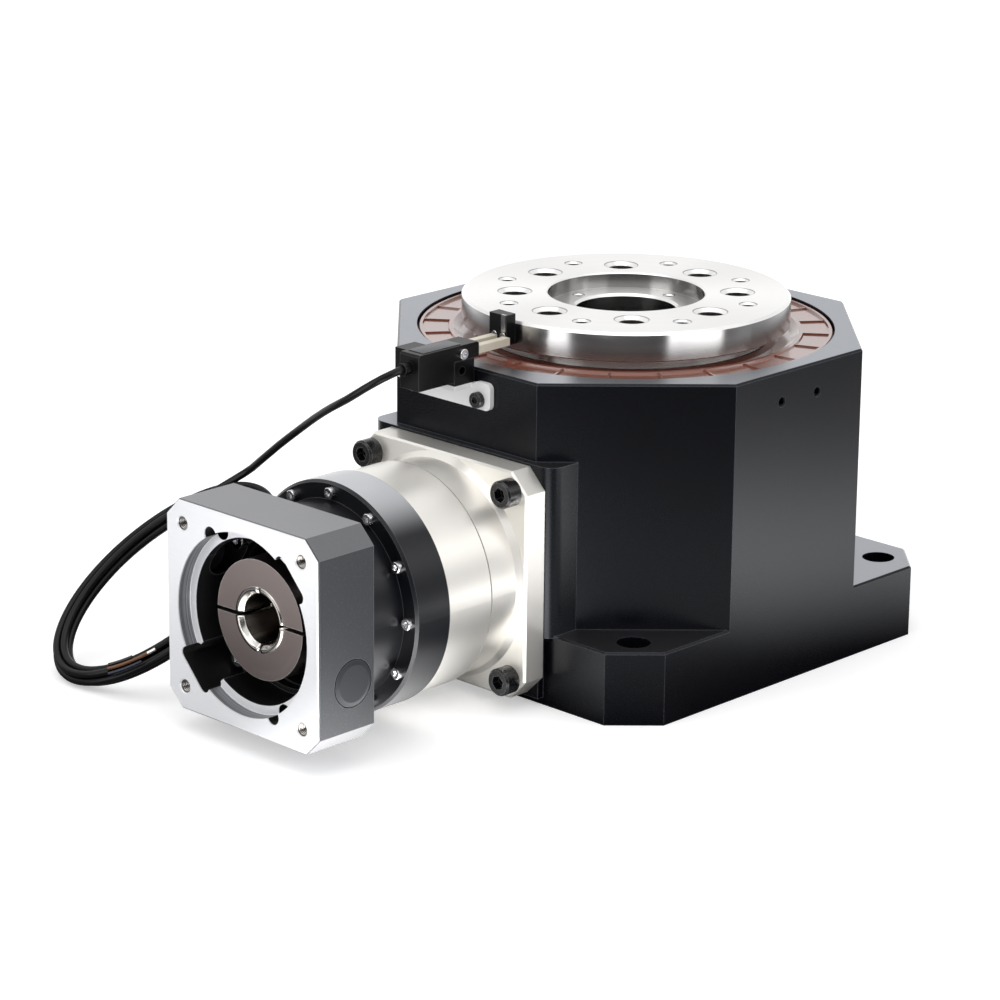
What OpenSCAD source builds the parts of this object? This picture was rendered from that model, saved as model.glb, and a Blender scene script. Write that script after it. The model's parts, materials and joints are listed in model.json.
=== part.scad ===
// Hollow rotary platform: a flat table on a crossed roller bearing, turned through a right-angle
// crown gear by a planetary gearbox, with a home sensor and its cable on the housing.
// Frame: +Z up along the table's axis, z = 0 on the mounting face, the gearbox points along -Y.

/* [Housing] */
// Width of the housing across its flats, and of its square foot
body_w = 180; // [170:1:220]
// Height of the housing's top face
body_h = 126; // [124:1:152]
// Thickness of the square foot
foot_t = 29; // [22:1:40]
// Leg of the foot's corner chamfers
foot_chamfer = 16; // [10:1:20]
// Diameter of the four foot bolt holes
foot_hole_d = 13; // [9:0.5:15]
// Distance between the foot bolt holes
foot_hole_spacing = 147; // [142:1:150]
// Chamfer on the housing's outer edges
edge_break = 0.8; // [0.4:0.1:1.5]
// Diameter of the two tapped holes on each side face
side_hole_d = 3.3; // [2.5:0.1:4]
// Distance between the two tapped holes of a side face
side_hole_spacing = 21; // [16:1:30]
// Width of the flat pad that carries the gearbox
pad_w = 97; // [92:1:104]
// How far the pad stands out of the front face
pad_out = 3; // [1:0.5:6]

/* [Table] */
// Diameter of the table
table_d = 130; // [120:1:136]
// Thickness of the table
table_t = 11.5; // [9:0.5:16]
// Gap between the table and the housing's top face
table_gap = 1.5; // [1:0.5:4]
// Diameter of the hollow through the table's axis
bore_d = 40; // [30:1:44]
// Diameter of the centring recess in the table
recess_d = 62; // [58:1:66]
// Depth of the centring recess
recess_depth = 6; // [4:0.5:7]
// Bolt circle of the large threaded holes
large_pcd = 88; // [84:1:90]
// Core diameter of the large threaded holes
large_d = 10.3; // [8:0.1:11]
// Bolt circle of the small threaded holes
small_pcd = 101; // [98:1:108]
// Core diameter of the small threaded holes
small_d = 5; // [3:0.1:6]
// Bolt circle of the threaded holes in the recess floor
floor_pcd = 51; // [49:1:53]
// Core diameter of the threaded holes in the recess floor
floor_d = 3.3; // [2.5:0.1:4]
// Holes in each of the two outer bolt circles
table_holes = 8; // [6:2:12]

/* [Table bearing] */
// Inner diameter of the crossed roller bearing
bearing_id = 84; // [80:1:88]
// Outer diameter of the crossed roller bearing
bearing_od = 136; // [132:1:142]
// Width of the crossed roller bearing
bearing_w = 24; // [20:1:26]
// Diameter of a roller
roller_d = 9; // [7:0.5:10]
// Number of rollers
roller_count = 32; // [24:1:34]
// Gap between the inner and the outer ring
ring_gap = 0.8; // [0.6:0.1:1.2]

/* [Seal] */
// Outer diameter of the brown seal round the table
seal_d = 164; // [160:1:166]
// Height of the seal
seal_t = 6.4; // [5:0.2:8]
// Ribs round the seal
seal_ribs = 24; // [12:1:36]

/* [Crown gear] */
// Module of the crown gear and its pinion
crown_m = 2; // [1.8:0.05:2]
// Teeth of the crown gear
crown_teeth = 60; // [60:1:60]
// Teeth of the pinion
pinion_teeth = 15; // [15:1:15]
// Length of the crown gear's teeth
crown_face = 8; // [6:0.5:9]

/* [Gearbox] */
// Height of the gearbox axis
axis_z = 49.5; // [48:0.5:54]
// Side of the square gearbox flange
flange_w = 90; // [88:1:94]
// Thickness of the gearbox flange
flange_t = 10; // [8:0.5:12]
// Leg of the flange's corner chamfers
flange_chamfer = 8; // [5:0.5:10]
// Bolt circle of the flange screws
flange_pcd = 105; // [103:1:107]
// Diameter of the cylinder next to the flange
barrel_d = 85; // [84:0.5:87]
// Diameter of the cylinder next to the bell
barrel_big_d = 87.5; // [87:0.5:89]
// Length of the cylinder next to the flange
barrel_len = 17; // [12:1:24]
// Length of the cylinder next to the bell
barrel_big_len = 23; // [23:1:30]
// Module of the planetary gears
planet_m = 1.5; // [1.4:0.05:1.5]
// Teeth of the sun gear
sun_teeth = 12; // [12:3:12]
// Teeth of each planet gear
planet_teeth = 18; // [18:3:18]
// Width of the planetary gears
planet_w = 19; // [14:0.5:20]

/* [Motor side] */
// Diameter of the black bell ring
bell_d = 90; // [89:0.5:94]
// Length of the bell ring
bell_len = 17; // [14:1:22]
// Diameter of the neck behind the adapter
neck_d = 76; // [74:1:80]
// Length of the neck
neck_len = 18; // [14:1:24]
// Side of the square motor adapter
adapter_w = 82; // [80:1:90]
// Length of the motor adapter
adapter_len = 27.5; // [25:0.5:34]
// Leg of the adapter's corner chamfers
adapter_chamfer = 7; // [4:0.5:9]
// Diameter of the motor pilot
pilot_d = 70; // [68:1:72]
// Depth of the motor pilot
pilot_depth = 6; // [4:0.5:8]
// Bolt circle of the motor screws
motor_pcd = 90; // [88:1:92]
// Core diameter of the motor screw holes
motor_hole_d = 5; // [4:0.1:6]
// Diameter of the motor shaft bore
shaft_d = 19; // [14:1:20]
// Outer diameter of the clamping collar
collar_d = 46; // [42:1:48]
// Length of the clamping collar
collar_len = 16; // [12:1:18]
// Turn of the collar's slits at rest
collar_turn = -13; // [-45:1:45]
// Diameter of the side plugs
plug_d = 18.5; // [14:0.5:19]

/* [Sensor] */
// Width of the sensor
sensor_w = 10; // [8:0.5:14]
// Length of the sensor
sensor_len = 32; // [26:1:39]
// Height of the sensor's rear part
sensor_h = 14; // [12:0.5:16]
// Width of the dog on the table's rim
dog_w = 9; // [8:0.5:12]
// Thickness of the dog
dog_t = 5; // [3:0.5:5.5]

/* [Cable] */
// Diameter of the sensor cable
cable_d = 3; // [2.5:0.1:3.5]
// Radius of the bundle of the cable's hank
bundle_r = 4.1; // [3.4:0.1:4.4]

/* [Hidden] */
$fn = 96;
eps = 0.01;
// Radial clearance of a seat inside one body, of a screw in its hole and of a running fit
fit = 0.04;
screw_gap = 0.15;
run = 0.05;
// Free gap between bodies that turn against each other
free_gap = 0.4;

small_screw_r = 2;
cover_screw_r = 68.5;
retainer_screw_r = 72.5;
adapter_screw_r = 33;

half = body_w / 2;
front_y = half + pad_out;
table_z = body_h + table_gap;
table_top = table_z + table_t;

// Bottom of the housing
cover_z = 1;
cover_t = 8;
cover_r = 74;
cavity_r = 71;

// Bearing, seal and retainer
bearing_z = body_h - 38;
bearing_top = bearing_z + bearing_w;
bearing_mid = bearing_z + bearing_w / 2;
race_r = (bearing_id + bearing_od) / 4 - 2;
shoulder_z = bearing_z - 4;
shoulder_r = bearing_od / 2 - 6;
retainer_r = 77;
retainer_t = 6.8;
seal_z = bearing_top + retainer_t + fit;
seal_r = seal_d / 2;
seal_gap = 0.6;
hub_r = 57.2;
groove = roller_d + 2 * run;

// Table's sleeve, from the bearing down
sleeve_r = 27;
sleeve_z = 2;
gear_seat_r = 36;
gear_top = bearing_z - 10;
lower_bearing_z = 12;
lower_bearing_w = 10;
lower_bearing_r = 38;
boss_r = 44;
gear_screw_r = 39.2;
gear_screw_d = 3;

// Crown gear: the pinion's top meets the pitch plane
pinion_r = crown_m * pinion_teeth / 2;
crown_r = crown_m * crown_teeth / 2;
pitch_z = axis_z + pinion_r;
crown_tip_z = pitch_z - 0.85 * crown_m;
crown_root_z = pitch_z + 1.2 * crown_m;
crown_in = crown_r - crown_face / 2;
crown_out = crown_r + crown_face / 2;
crown_rim = 68;
pinion_face = crown_face + 1;
tooth_angle = 20;

// Gearbox stations, counted from the table's axis towards the motor
flange_d0 = front_y;
barrel_d0 = flange_d0 + flange_t;
barrel_big_d0 = barrel_d0 + barrel_len;
bell_d0 = barrel_big_d0 + barrel_big_len;
neck_d0 = bell_d0 + bell_len;
adapter_d0 = neck_d0 + neck_len;
adapter_d1 = adapter_d0 + adapter_len;
spigot_d0 = flange_d0 - 9;
spigot_r = 35;
output_r = 12;
output_bearing_r = 26;
output_bearing_w = 9;
carrier_r = 33;
carrier_t = 5;
planet_count = 3;
planet_orbit = planet_m * (sun_teeth + planet_teeth) / 2;
ring_teeth = sun_teeth + 2 * planet_teeth;
ring_gear_r = 40;
ring_w = planet_w + 3;
ring_d0 = bell_d0 - ring_w;
planet_d0 = ring_d0 + 1;
carrier_d0 = planet_d0 - 1 - carrier_t;
pin_r = 4;
backlash = 0.12;
flange_screw_r = 3;
flange_head_r = 5.4;
bell_screws_n = 12;
bell_screw_pcd = 82;
input_bearing_r = 24;
input_bearing_w = 10;
input_r = 11;
hub_wall = 3;
hub_tube_r = shaft_d / 2 + hub_wall;
collar_front = adapter_d1 - 9;
hub_front = collar_front + 0.6;
hub_cone = 1.8;
hub_back = neck_d0 + 4;
slit_w = 1.6;
adapter_cavity_r = 31.5;
adapter_floor = 5;
plug_offset = 16;
plug_t = 2.5;
plug_groove_w = 0.4;
plug_groove_t = 0.9;
plug_rise = 0.6;

// Sensor and its bracket on the front face
bracket_t = 2;
bracket_x0 = -31;
bracket_x1 = 15;
bracket_z0 = body_h - 15.2;
bracket_z1 = body_h - 4.5;
bracket_y = -(half + bracket_t);
bracket_screw_x = [-25, 9];
bar_x0 = -27;
bar_x1 = sensor_w / 2;
bar_y0 = -(half + 11);
bar_z0 = bracket_z1 - 1;
bar_z1 = bar_z0 + 9.5;
sensor_y0 = -(half + 30);
sensor_y1 = sensor_y0 + sensor_len;
sensor_top = bar_z1 + 6;
clamp_y = bar_y0 + 4;
prong_len = -sensor_y1 - (table_d / 2 + dog_t);
prong_x = [-3.6, 3.2];
dog_x = -2.6;
dog_z0 = table_z + 2.5;
dog_top = table_top + 3;
dog_screw_r = 1;
dog_head_r = 1.7;
dog_head_h = 1.2;
strip_x = 0.25;
strip_w = 2.2;
strip_z = table_z + table_t / 2 + 2;
cable_z = sensor_top - 5.5;
gland_len = 5;

// Cable: the lead runs down from the gland and joins a hank that leans beside the gearbox.
// The hank is an oval with two half axes, and the tail and its cores lie along the hank.
hank_centre = [-(bell_d / 2 + 42.3), -(half + 76.2), 35.4];
hank_long = [19.7, 34.6, 30.2];
hank_short = [-30.3, 10.8, 7.5];
lead_end = 50;
tail_from = 184;
tail_to = 223;
core_to = 246;
tail_side = [0.48, -0.5, 0.72];
core_spread = [0.14, -0.14, -0.32];
// Middle line of the lead, with y counted from the front face
lead_steps = [
    [0, 36, cable_z - 0.2], [-3, 41, cable_z - 2.6], [-9, 44.5, cable_z - 7],
    [-17, 46, cable_z - 12.5], [-28, 44, cable_z - 18.5], [-40, 41, cable_z - 25.5],
    [-53, 38.2, cable_z - 34], [-64, 38, cable_z - 42.2], [-77, 37.4, cable_z - 52.4],
    [-84.4, 37, cable_z - 57.8], [-90, 37.6, cable_z - 62.4]
];
core_d = 1.3;

// ---------- shared shapes ----------

// Places its children on the gearbox axis: their x stays, their y points up, and their z is the
// distance from the table's axis towards the motor.
module on_gearbox() {
    translate([0, 0, axis_z]) rotate([90, 0, 0]) children();
}

// Tube between two stations, open from r_in to r_out.
module tube(z0, z1, r_out, r_in = 0) {
    translate([0, 0, z0]) difference() {
        cylinder(h = z1 - z0, r = r_out);
        if (r_in > 0) translate([0, 0, -1]) cylinder(h = z1 - z0 + 2, r = r_in);
    }
}

// Square with its corners cut off at 45 degrees.
module cut_square(side, leg) {
    a = side / 2;
    b = a - leg;
    polygon([[-b, -a], [b, -a], [a, -b], [a, b], [b, a], [-b, a], [-a, b], [-a, -b]]);
}

// Wedges that break the outer edges of a cut square plate at height z.
module edge_breaks(side, leg, z) {
    corner = side / sqrt(2) - leg / sqrt(2);
    for (k = [0:7]) {
        reach = k % 2 == 0 ? side / 2 : corner;
        rotate([0, 0, 45 * k]) translate([0, -reach, z]) rotate([45, 0, 0])
            cube([side * 1.2, edge_break * sqrt(2), edge_break * sqrt(2)], center = true);
    }
}

// Copies its children round the z axis.
module ring_of(count, r, start = 0) {
    for (k = [0:count - 1]) rotate([0, 0, start + 360 * k / count]) translate([r, 0, 0]) children();
}

// Hole cutter with a countersunk mouth at z = 0, going down.
module tapped_hole(d, depth, mouth) {
    translate([0, 0, -depth]) cylinder(h = depth + 1, r = d / 2, $fn = 32);
    rise = (mouth - d) / 2;
    translate([0, 0, -rise]) cylinder(h = rise + eps, r1 = d / 2, r2 = mouth / 2 + eps, $fn = 32);
}

// Socket head screw: the head sits on z = 0, and the shank goes down.
module socket_screw(shank_r, shank_len, head_r, head_h) {
    difference() {
        union() {
            translate([0, 0, -shank_len]) cylinder(h = shank_len + eps, r = shank_r, $fn = 24);
            cylinder(h = head_h * 0.88, r = head_r, $fn = 32);
            translate([0, 0, head_h * 0.88 - eps])
                cylinder(h = head_h * 0.12, r1 = head_r, r2 = head_r * 0.88, $fn = 32);
        }
        translate([0, 0, head_h * 0.45]) cylinder(h = head_h, r = head_r * 0.55, $fn = 6);
    }
}

// ---------- gear teeth ----------

// Involute of an angle, in degrees.
function involute(a) = tan(a) * 180 / PI - a;

// Half of a tooth's angle at radius r, for a tooth thinned by thin on each flank.
function tooth_half(teeth, m, thin, r) =
    90 / teeth - thin / (m * teeth / 2) * 180 / PI
    + involute(tooth_angle) - involute(acos(min(1, m * teeth / 2 * cos(tooth_angle) / r)));

// Outline of a spur gear with involute flanks. An internal gear's space has the same outline,
// with thin below zero.
function gear_outline(teeth, m, add, ded, thin, steps = 3) =
    let (pitch = m * teeth / 2,
         root = pitch - ded,
         tip = pitch + add,
         start = max(root + 0.05 * m, pitch * cos(tooth_angle) + 0.02),
         radii = [for (i = [0:steps]) start + (tip - start) * i / steps])
    [for (k = [0:teeth - 1])
        let (mid = 360 * k / teeth,
             foot = tooth_half(teeth, m, thin, start))
        for (p = concat(
            [[root, mid - foot]],
            [for (r = radii) [r, mid - tooth_half(teeth, m, thin, r)]],
            [for (i = [steps:-1:0]) [radii[i], mid + tooth_half(teeth, m, thin, radii[i])]],
            [[root, mid + foot]]))
        [p[0] * cos(p[1]), p[0] * sin(p[1])]];

// ---------- housing ----------

module housing() {
    color([0.13, 0.13, 0.15]) difference() {
        union() {
            linear_extrude(foot_t) cut_square(body_w, foot_chamfer);
            linear_extrude(body_h) cut_square(body_w, body_w * (1 - 1 / sqrt(2)));
            gearbox_pad();
        }
        edge_breaks(body_w, body_w * (1 - 1 / sqrt(2)), body_h);
        difference() {
            edge_breaks(body_w, foot_chamfer, foot_t);
            linear_extrude(body_h) cut_square(body_w, body_w * (1 - 1 / sqrt(2)));
            translate([-pad_w / 2 - 1, -front_y - 1, 0]) cube([pad_w + 2, half, body_h]);
        }
        // foot bolt holes
        for (x = [-1, 1], y = [-1, 1])
            translate([x * foot_hole_spacing / 2, y * foot_hole_spacing / 2, -1])
                cylinder(h = foot_t + 2, r = foot_hole_d / 2);
        // bottom recess, gear cavity, bearing seat, retainer seat and seal recess
        translate([0, 0, -1]) cylinder(h = cover_z + cover_t + 1, r = cover_r + fit);
        translate([0, 0, 1]) cylinder(h = shoulder_z - 1, r = cavity_r);
        translate([0, 0, 1]) cylinder(h = body_h, r = shoulder_r);
        translate([0, 0, bearing_z]) cylinder(h = body_h, r = bearing_od / 2 + fit);
        translate([0, 0, bearing_top]) cylinder(h = body_h, r = retainer_r + fit);
        translate([0, 0, seal_z]) cylinder(h = body_h, r = seal_r + seal_gap);
        // gearbox spigot and flange screws
        on_gearbox() translate([0, 0, cavity_r - 12]) cylinder(h = front_y, r = spigot_r + fit);
        on_gearbox() ring_of(4, flange_pcd / 2, 45)
            translate([0, 0, front_y - 17]) cylinder(h = 18, r = flange_screw_r + screw_gap, $fn = 24);
        // screw holes for the bottom cover and the retainer
        ring_of(6, cover_screw_r, 30)
            translate([0, 0, cover_z]) cylinder(h = 18, r = small_screw_r + screw_gap, $fn = 24);
        ring_of(6, retainer_screw_r, 0) translate([0, 0, bearing_top - 10])
            cylinder(h = 12, r = small_screw_r + screw_gap, $fn = 24);
        // tapped holes in the side faces
        for (s = [-1, 1], k = [-1, 1])
            translate([s * half, k * side_hole_spacing / 2, body_h - 12]) rotate([0, s * 90, 0])
                tapped_hole(side_hole_d, 8, side_hole_d + 0.8);
        // tapped holes for the sensor bracket
        for (x = bracket_screw_x) translate([x, -half, (bracket_z0 + bracket_z1) / 2 - 1.6])
            rotate([90, 0, 0]) translate([0, 0, -7])
                cylinder(h = 8, r = small_screw_r + screw_gap, $fn = 24);
    }
}

// Flat boss under the gearbox flange, with round upright corners
module gearbox_pad() {
    corner = 6;
    top = axis_z + flange_w / 2 + 1;
    difference() {
        for (s = [-1, 1]) translate([s * (pad_w / 2 - corner), -front_y + corner, foot_t - 1])
            cylinder(h = top - foot_t + 1, r = corner);
        translate([-pad_w, -front_y - 1, top]) cube([2 * pad_w, 20, 5]);
    }
    translate([-pad_w / 2 + corner, -front_y, 3]) cube([pad_w - 2 * corner, front_y - 60, top - 3]);
    translate([-pad_w / 2, -front_y + corner, foot_t - 1]) cube([pad_w, 18, top - foot_t + 1]);
}

module bottom_cover() {
    color([0.35, 0.36, 0.38]) difference() {
        union() {
            tube(cover_z, cover_z + cover_t, cover_r, sleeve_r + 1);
            tube(cover_z + cover_t - 1, lower_bearing_z + lower_bearing_w + 2, boss_r,
                 lower_bearing_r - 6);
        }
        translate([0, 0, lower_bearing_z]) cylinder(h = 20, r = lower_bearing_r + fit);
        translate([0, 0, cover_z - 1])
            cylinder(h = lower_bearing_z - cover_z - 1, r = sleeve_r + 6 + fit);
        ring_of(6, cover_screw_r, 30) translate([0, 0, cover_z - 1]) {
            cylinder(h = 20, r = small_screw_r + screw_gap, $fn = 24);
            cylinder(h = 5, r = 3.9, $fn = 32);
        }
    }
}

module cover_screws() {
    color([0.12, 0.12, 0.13]) ring_of(6, cover_screw_r, 30) translate([0, 0, cover_z + 4])
        rotate([180, 0, 0]) socket_screw(small_screw_r, 12, 3.6, 3.6);
}

module bottom_seal() {
    color([0.08, 0.08, 0.08])
        tube(cover_z + 1, lower_bearing_z - 2, sleeve_r + 6, sleeve_r + free_gap);
}

// Ball bearing under the table's sleeve, as its outer ring, its balls and its inner ring
module lower_bearing() {
    mid = (sleeve_r + lower_bearing_r) / 2;
    ball = 2.6;
    color([0.75, 0.76, 0.78]) translate([0, 0, lower_bearing_z]) difference() {
        tube(0, lower_bearing_w, lower_bearing_r, sleeve_r + run);
        translate([0, 0, -1]) difference() {
            cylinder(h = 2.5, r = mid + ball);
            translate([0, 0, -1]) cylinder(h = 5, r = mid - ball);
        }
        translate([0, 0, lower_bearing_w - 1.5]) difference() {
            cylinder(h = 2.5, r = mid + ball);
            translate([0, 0, -1]) cylinder(h = 5, r = mid - ball);
        }
    }
}

// ---------- table bearing ----------

// Square groove of the crossed rollers
module roller_groove() {
    rotate_extrude() translate([race_r, bearing_mid]) rotate(45) square(groove, center = true);
}

module bearing_outer_ring() {
    color([0.72, 0.73, 0.76]) difference() {
        tube(bearing_z, bearing_top, bearing_od / 2, race_r + ring_gap / 2);
        roller_groove();
    }
}

module bearing_inner_ring() {
    color([0.72, 0.73, 0.76]) difference() {
        tube(bearing_z, bearing_top, race_r - ring_gap / 2, bearing_id / 2 + fit);
        roller_groove();
    }
}

// Rollers stand crosswise in turn
module bearing_rollers() {
    color([0.85, 0.86, 0.88]) for (k = [0:roller_count - 1])
        rotate([0, 0, 360 * k / roller_count]) translate([race_r, 0, bearing_mid])
            rotate([0, k % 2 == 0 ? 45 : -45, 0])
                cylinder(h = roller_d - 0.3, r = roller_d / 2 - run / 2, center = true, $fn = 32);
}

module bearing_retainer() {
    color([0.3, 0.31, 0.33]) difference() {
        tube(bearing_top, bearing_top + retainer_t, retainer_r, hub_r + 1.5);
        ring_of(6, retainer_screw_r, 0) translate([0, 0, bearing_top - 1]) {
            cylinder(h = retainer_t + 2, r = small_screw_r + screw_gap, $fn = 24);
            translate([0, 0, retainer_t - 3]) cylinder(h = 6, r = 3.9, $fn = 32);
        }
    }
}

module retainer_screws() {
    color([0.12, 0.12, 0.13]) ring_of(6, retainer_screw_r, 0)
        translate([0, 0, bearing_top + retainer_t - 4]) socket_screw(small_screw_r, 12, 3.6, 3.6);
}

// Brown seal: an outer rim, a flat band with ribs, a ridge, and a lip that dips under the table
module table_seal() {
    top = seal_z + seal_t;
    color([0.42, 0.18, 0.12]) {
        rotate_extrude() polygon([
            [hub_r + free_gap, seal_z], [seal_r, seal_z], [seal_r, top - 0.5], [seal_r - 0.5, top],
            [seal_r - 1.6, top], [seal_r - 2, top - 0.9], [seal_r - 11.6, top - 0.9],
            [seal_r - 12, top - 0.2], [seal_r - 13.6, top - 0.2], [seal_r - 17, top - 2.6],
            [hub_r + 3, top - 3.2], [hub_r + free_gap, top - 2.4]]);
        ring_of(seal_ribs, seal_r - 11.8, 180 / seal_ribs)
            translate([0, -0.35, top - 1.2]) cube([10, 0.7, 0.9]);
    }
}

// ---------- table ----------

module rotary_table() {
    c = 1;
    bore = bore_d / 2;
    recess = recess_d / 2;
    recess_z = table_top - recess_depth;
    color([0.8, 0.8, 0.8]) difference() {
        rotate_extrude() polygon([
            [bore, sleeve_z], [sleeve_r - 1, sleeve_z], [sleeve_r, sleeve_z + 1],
            [sleeve_r, gear_top - 18], [gear_seat_r, gear_top - 18], [gear_seat_r, gear_top],
            [bearing_id / 2, gear_top], [bearing_id / 2, bearing_top], [hub_r, bearing_top],
            [hub_r, table_z], [table_d / 2 - c / 2, table_z], [table_d / 2, table_z + c / 2],
            [table_d / 2, table_top - c], [table_d / 2 - c, table_top], [recess + c / 2, table_top],
            [recess, table_top - c / 2], [recess, recess_z], [bore + c, recess_z],
            [bore, recess_z - c]]);
        translate([0, 0, table_top]) {
            ring_of(table_holes, large_pcd / 2) tapped_hole(large_d, 20, large_d + 3.2);
            ring_of(table_holes, small_pcd / 2, 180 / table_holes)
                tapped_hole(small_d, 16, small_d + 2);
        }
        translate([0, 0, recess_z]) ring_of(4, floor_pcd / 2) tapped_hole(floor_d, 10, floor_d + 1.4);
        ring_of(8, gear_screw_r) translate([0, 0, gear_top - 1])
            cylinder(h = 14, r = gear_screw_d / 2 + screw_gap, $fn = 24);
        at_dog_screws() translate([0, 0, table_d / 2 - 6])
            cylinder(h = 8, r = dog_screw_r + screw_gap, $fn = 24);
    }
}

module bearing_spacer() {
    color([0.5, 0.5, 0.52]) tube(gear_top, bearing_z, race_r - 3, bearing_id / 2 + fit);
}

// One straight-sided tooth of the crown gear, pointing down, along the x axis
module crown_tooth() {
    thick = 1.18 * crown_m;
    rise = crown_root_z - crown_tip_z;
    slope = tan(tooth_angle);
    top = thick / 2 + 1.2 * crown_m * slope;
    tip = thick / 2 - 0.85 * crown_m * slope;
    translate([crown_in, 0, crown_root_z]) rotate([90, 0, 90]) linear_extrude(crown_face)
        polygon([[-top, 0.5], [-top, 0], [-tip, -rise], [tip, -rise], [top, 0], [top, 0.5]]);
}

module table_gear() {
    color([0.55, 0.53, 0.5]) {
        difference() {
            tube(crown_root_z, gear_top, crown_rim, gear_seat_r + fit);
            ring_of(8, gear_screw_r) translate([0, 0, crown_root_z - 1]) {
                cylinder(h = gear_top - crown_root_z + 2, r = gear_screw_d / 2 + screw_gap, $fn = 24);
                cylinder(h = 6, r = gear_screw_d, $fn = 32);
            }
            translate([0, 0, crown_root_z - 1])
                tube(0, 4, crown_in - 3, gear_screw_r + 6);
        }
        for (k = [0:crown_teeth - 1]) rotate([0, 0, 360 * (k + 0.5) / crown_teeth]) crown_tooth();
    }
}

module table_gear_screws() {
    color([0.12, 0.12, 0.13]) ring_of(8, gear_screw_r) translate([0, 0, crown_root_z + 5])
        rotate([180, 0, 0]) socket_screw(gear_screw_d / 2, gear_top - crown_root_z + 4, 2.75, 3);
}

// Places its children on the dog's two screws: z points out of the table's rim.
module at_dog_screws() {
    for (k = [-1, 1]) translate([dog_x + k * dog_w / 4, 0, table_z + table_t / 2])
        rotate([90, 0, 0]) children();
}

module sensor_dog() {
    color([0.08, 0.08, 0.09]) difference() {
        translate([dog_x - dog_w / 2, -table_d / 2 - dog_t, dog_z0])
            cube([dog_w, dog_t + 3, dog_top - dog_z0]);
        translate([0, 0, dog_z0 - 1]) cylinder(h = 20, r = table_d / 2 + fit);
        at_dog_screws() {
            cylinder(h = table_d, r = dog_screw_r + screw_gap, $fn = 24);
            translate([0, 0, table_d / 2 + dog_t - dog_head_h - 0.1])
                cylinder(h = 9, r = dog_head_r + screw_gap, $fn = 24);
        }
        translate([strip_x - strip_w / 2 - 0.1, -table_d / 2 - dog_t - 1, strip_z])
            cube([strip_w + 0.2, 1.8, 20]);
    }
}

module dog_screws() {
    color([0.8, 0.8, 0.82]) {
        at_dog_screws() translate([0, 0, table_d / 2 + dog_t - dog_head_h - 0.1])
            socket_screw(dog_screw_r, dog_t + 3, dog_head_r, dog_head_h);
        // bright strip set in the dog's slot
        translate([strip_x - strip_w / 2, -table_d / 2 - dog_t, strip_z + 0.1])
            cube([strip_w, 0.75, dog_top - strip_z - 0.1]);
    }
}

// ---------- gearbox ----------

module gearbox_body() {
    color([0.78, 0.76, 0.72]) on_gearbox() difference() {
        union() {
            tube(spigot_d0, flange_d0 + 1, spigot_r);
            translate([0, 0, flange_d0]) linear_extrude(flange_t) cut_square(flange_w, flange_chamfer);
            tube(barrel_d0 - 1, barrel_big_d0, barrel_d / 2);
            translate([0, 0, barrel_d0 - eps]) cylinder(h = 2.5, r1 = barrel_d / 2 + 2, r2 = barrel_d / 2);
            tube(barrel_big_d0 - 1, bell_d0, barrel_big_d / 2);
        }
        edge_breaks(flange_w, flange_chamfer, flange_d0 + flange_t);
        // groove line between the two cylinders
        translate([0, 0, barrel_big_d0 - 0.6]) difference() {
            cylinder(h = 0.6, r = barrel_big_d);
            translate([0, 0, -1]) cylinder(h = 3, r = barrel_d / 2 - 0.6);
        }
        translate([0, 0, spigot_d0 - 1]) cylinder(h = 100, r = output_r + 4);
        translate([0, 0, spigot_d0 + 2]) cylinder(h = 100, r = output_bearing_r + fit);
        translate([0, 0, carrier_d0 - 1]) cylinder(h = 100, r = carrier_r + 2);
        translate([0, 0, ring_d0]) cylinder(h = 100, r = ring_gear_r + fit);
        ring_of(4, flange_pcd / 2, 45) {
            translate([0, 0, flange_d0 - 1])
                cylinder(h = 20, r = flange_screw_r + screw_gap, $fn = 24);
            translate([0, 0, barrel_d0]) cylinder(h = 9, r = flange_head_r + 0.8);
        }
        ring_of(bell_screws_n, bell_screw_pcd / 2) translate([0, 0, bell_d0 - 9])
            cylinder(h = 10, r = 1 + screw_gap, $fn = 24);
    }
}

module flange_screws() {
    color([0.08, 0.08, 0.09]) on_gearbox() ring_of(4, flange_pcd / 2, 45)
        translate([0, 0, barrel_d0]) socket_screw(flange_screw_r, flange_t + 14, flange_head_r, 6.5);
}

module ring_gear() {
    color([0.6, 0.58, 0.55]) on_gearbox() translate([0, 0, ring_d0]) difference() {
        cylinder(h = ring_w, r = ring_gear_r);
        translate([0, 0, -1]) linear_extrude(ring_w + 2)
            polygon(gear_outline(ring_teeth, planet_m, 1.25 * planet_m, 0.85 * planet_m, -backlash));
    }
}

// Sealed ball bearings of the output shaft
module output_bearings() {
    color([0.75, 0.76, 0.78]) on_gearbox()
        for (d = [spigot_d0 + 2, carrier_d0 - 1 - output_bearing_w])
            tube(d, d + output_bearing_w, output_bearing_r, output_r + run);
}

module planet_carrier() {
    color([0.6, 0.6, 0.62]) on_gearbox() {
        tube(carrier_d0, carrier_d0 + carrier_t, carrier_r);
        tube(crown_r + pinion_face / 2, carrier_d0 + eps, output_r);
        ring_of(planet_count, planet_orbit, 90)
            tube(carrier_d0 + carrier_t - eps, planet_d0 + planet_w + 0.5, pin_r);
    }
}

module output_pinion() {
    color([0.55, 0.53, 0.5]) on_gearbox() translate([0, 0, crown_r - pinion_face / 2])
        rotate([0, 0, 90]) linear_extrude(pinion_face)
            polygon(gear_outline(pinion_teeth, crown_m, 0.9 * crown_m, 1.25 * crown_m, backlash));
}

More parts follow.
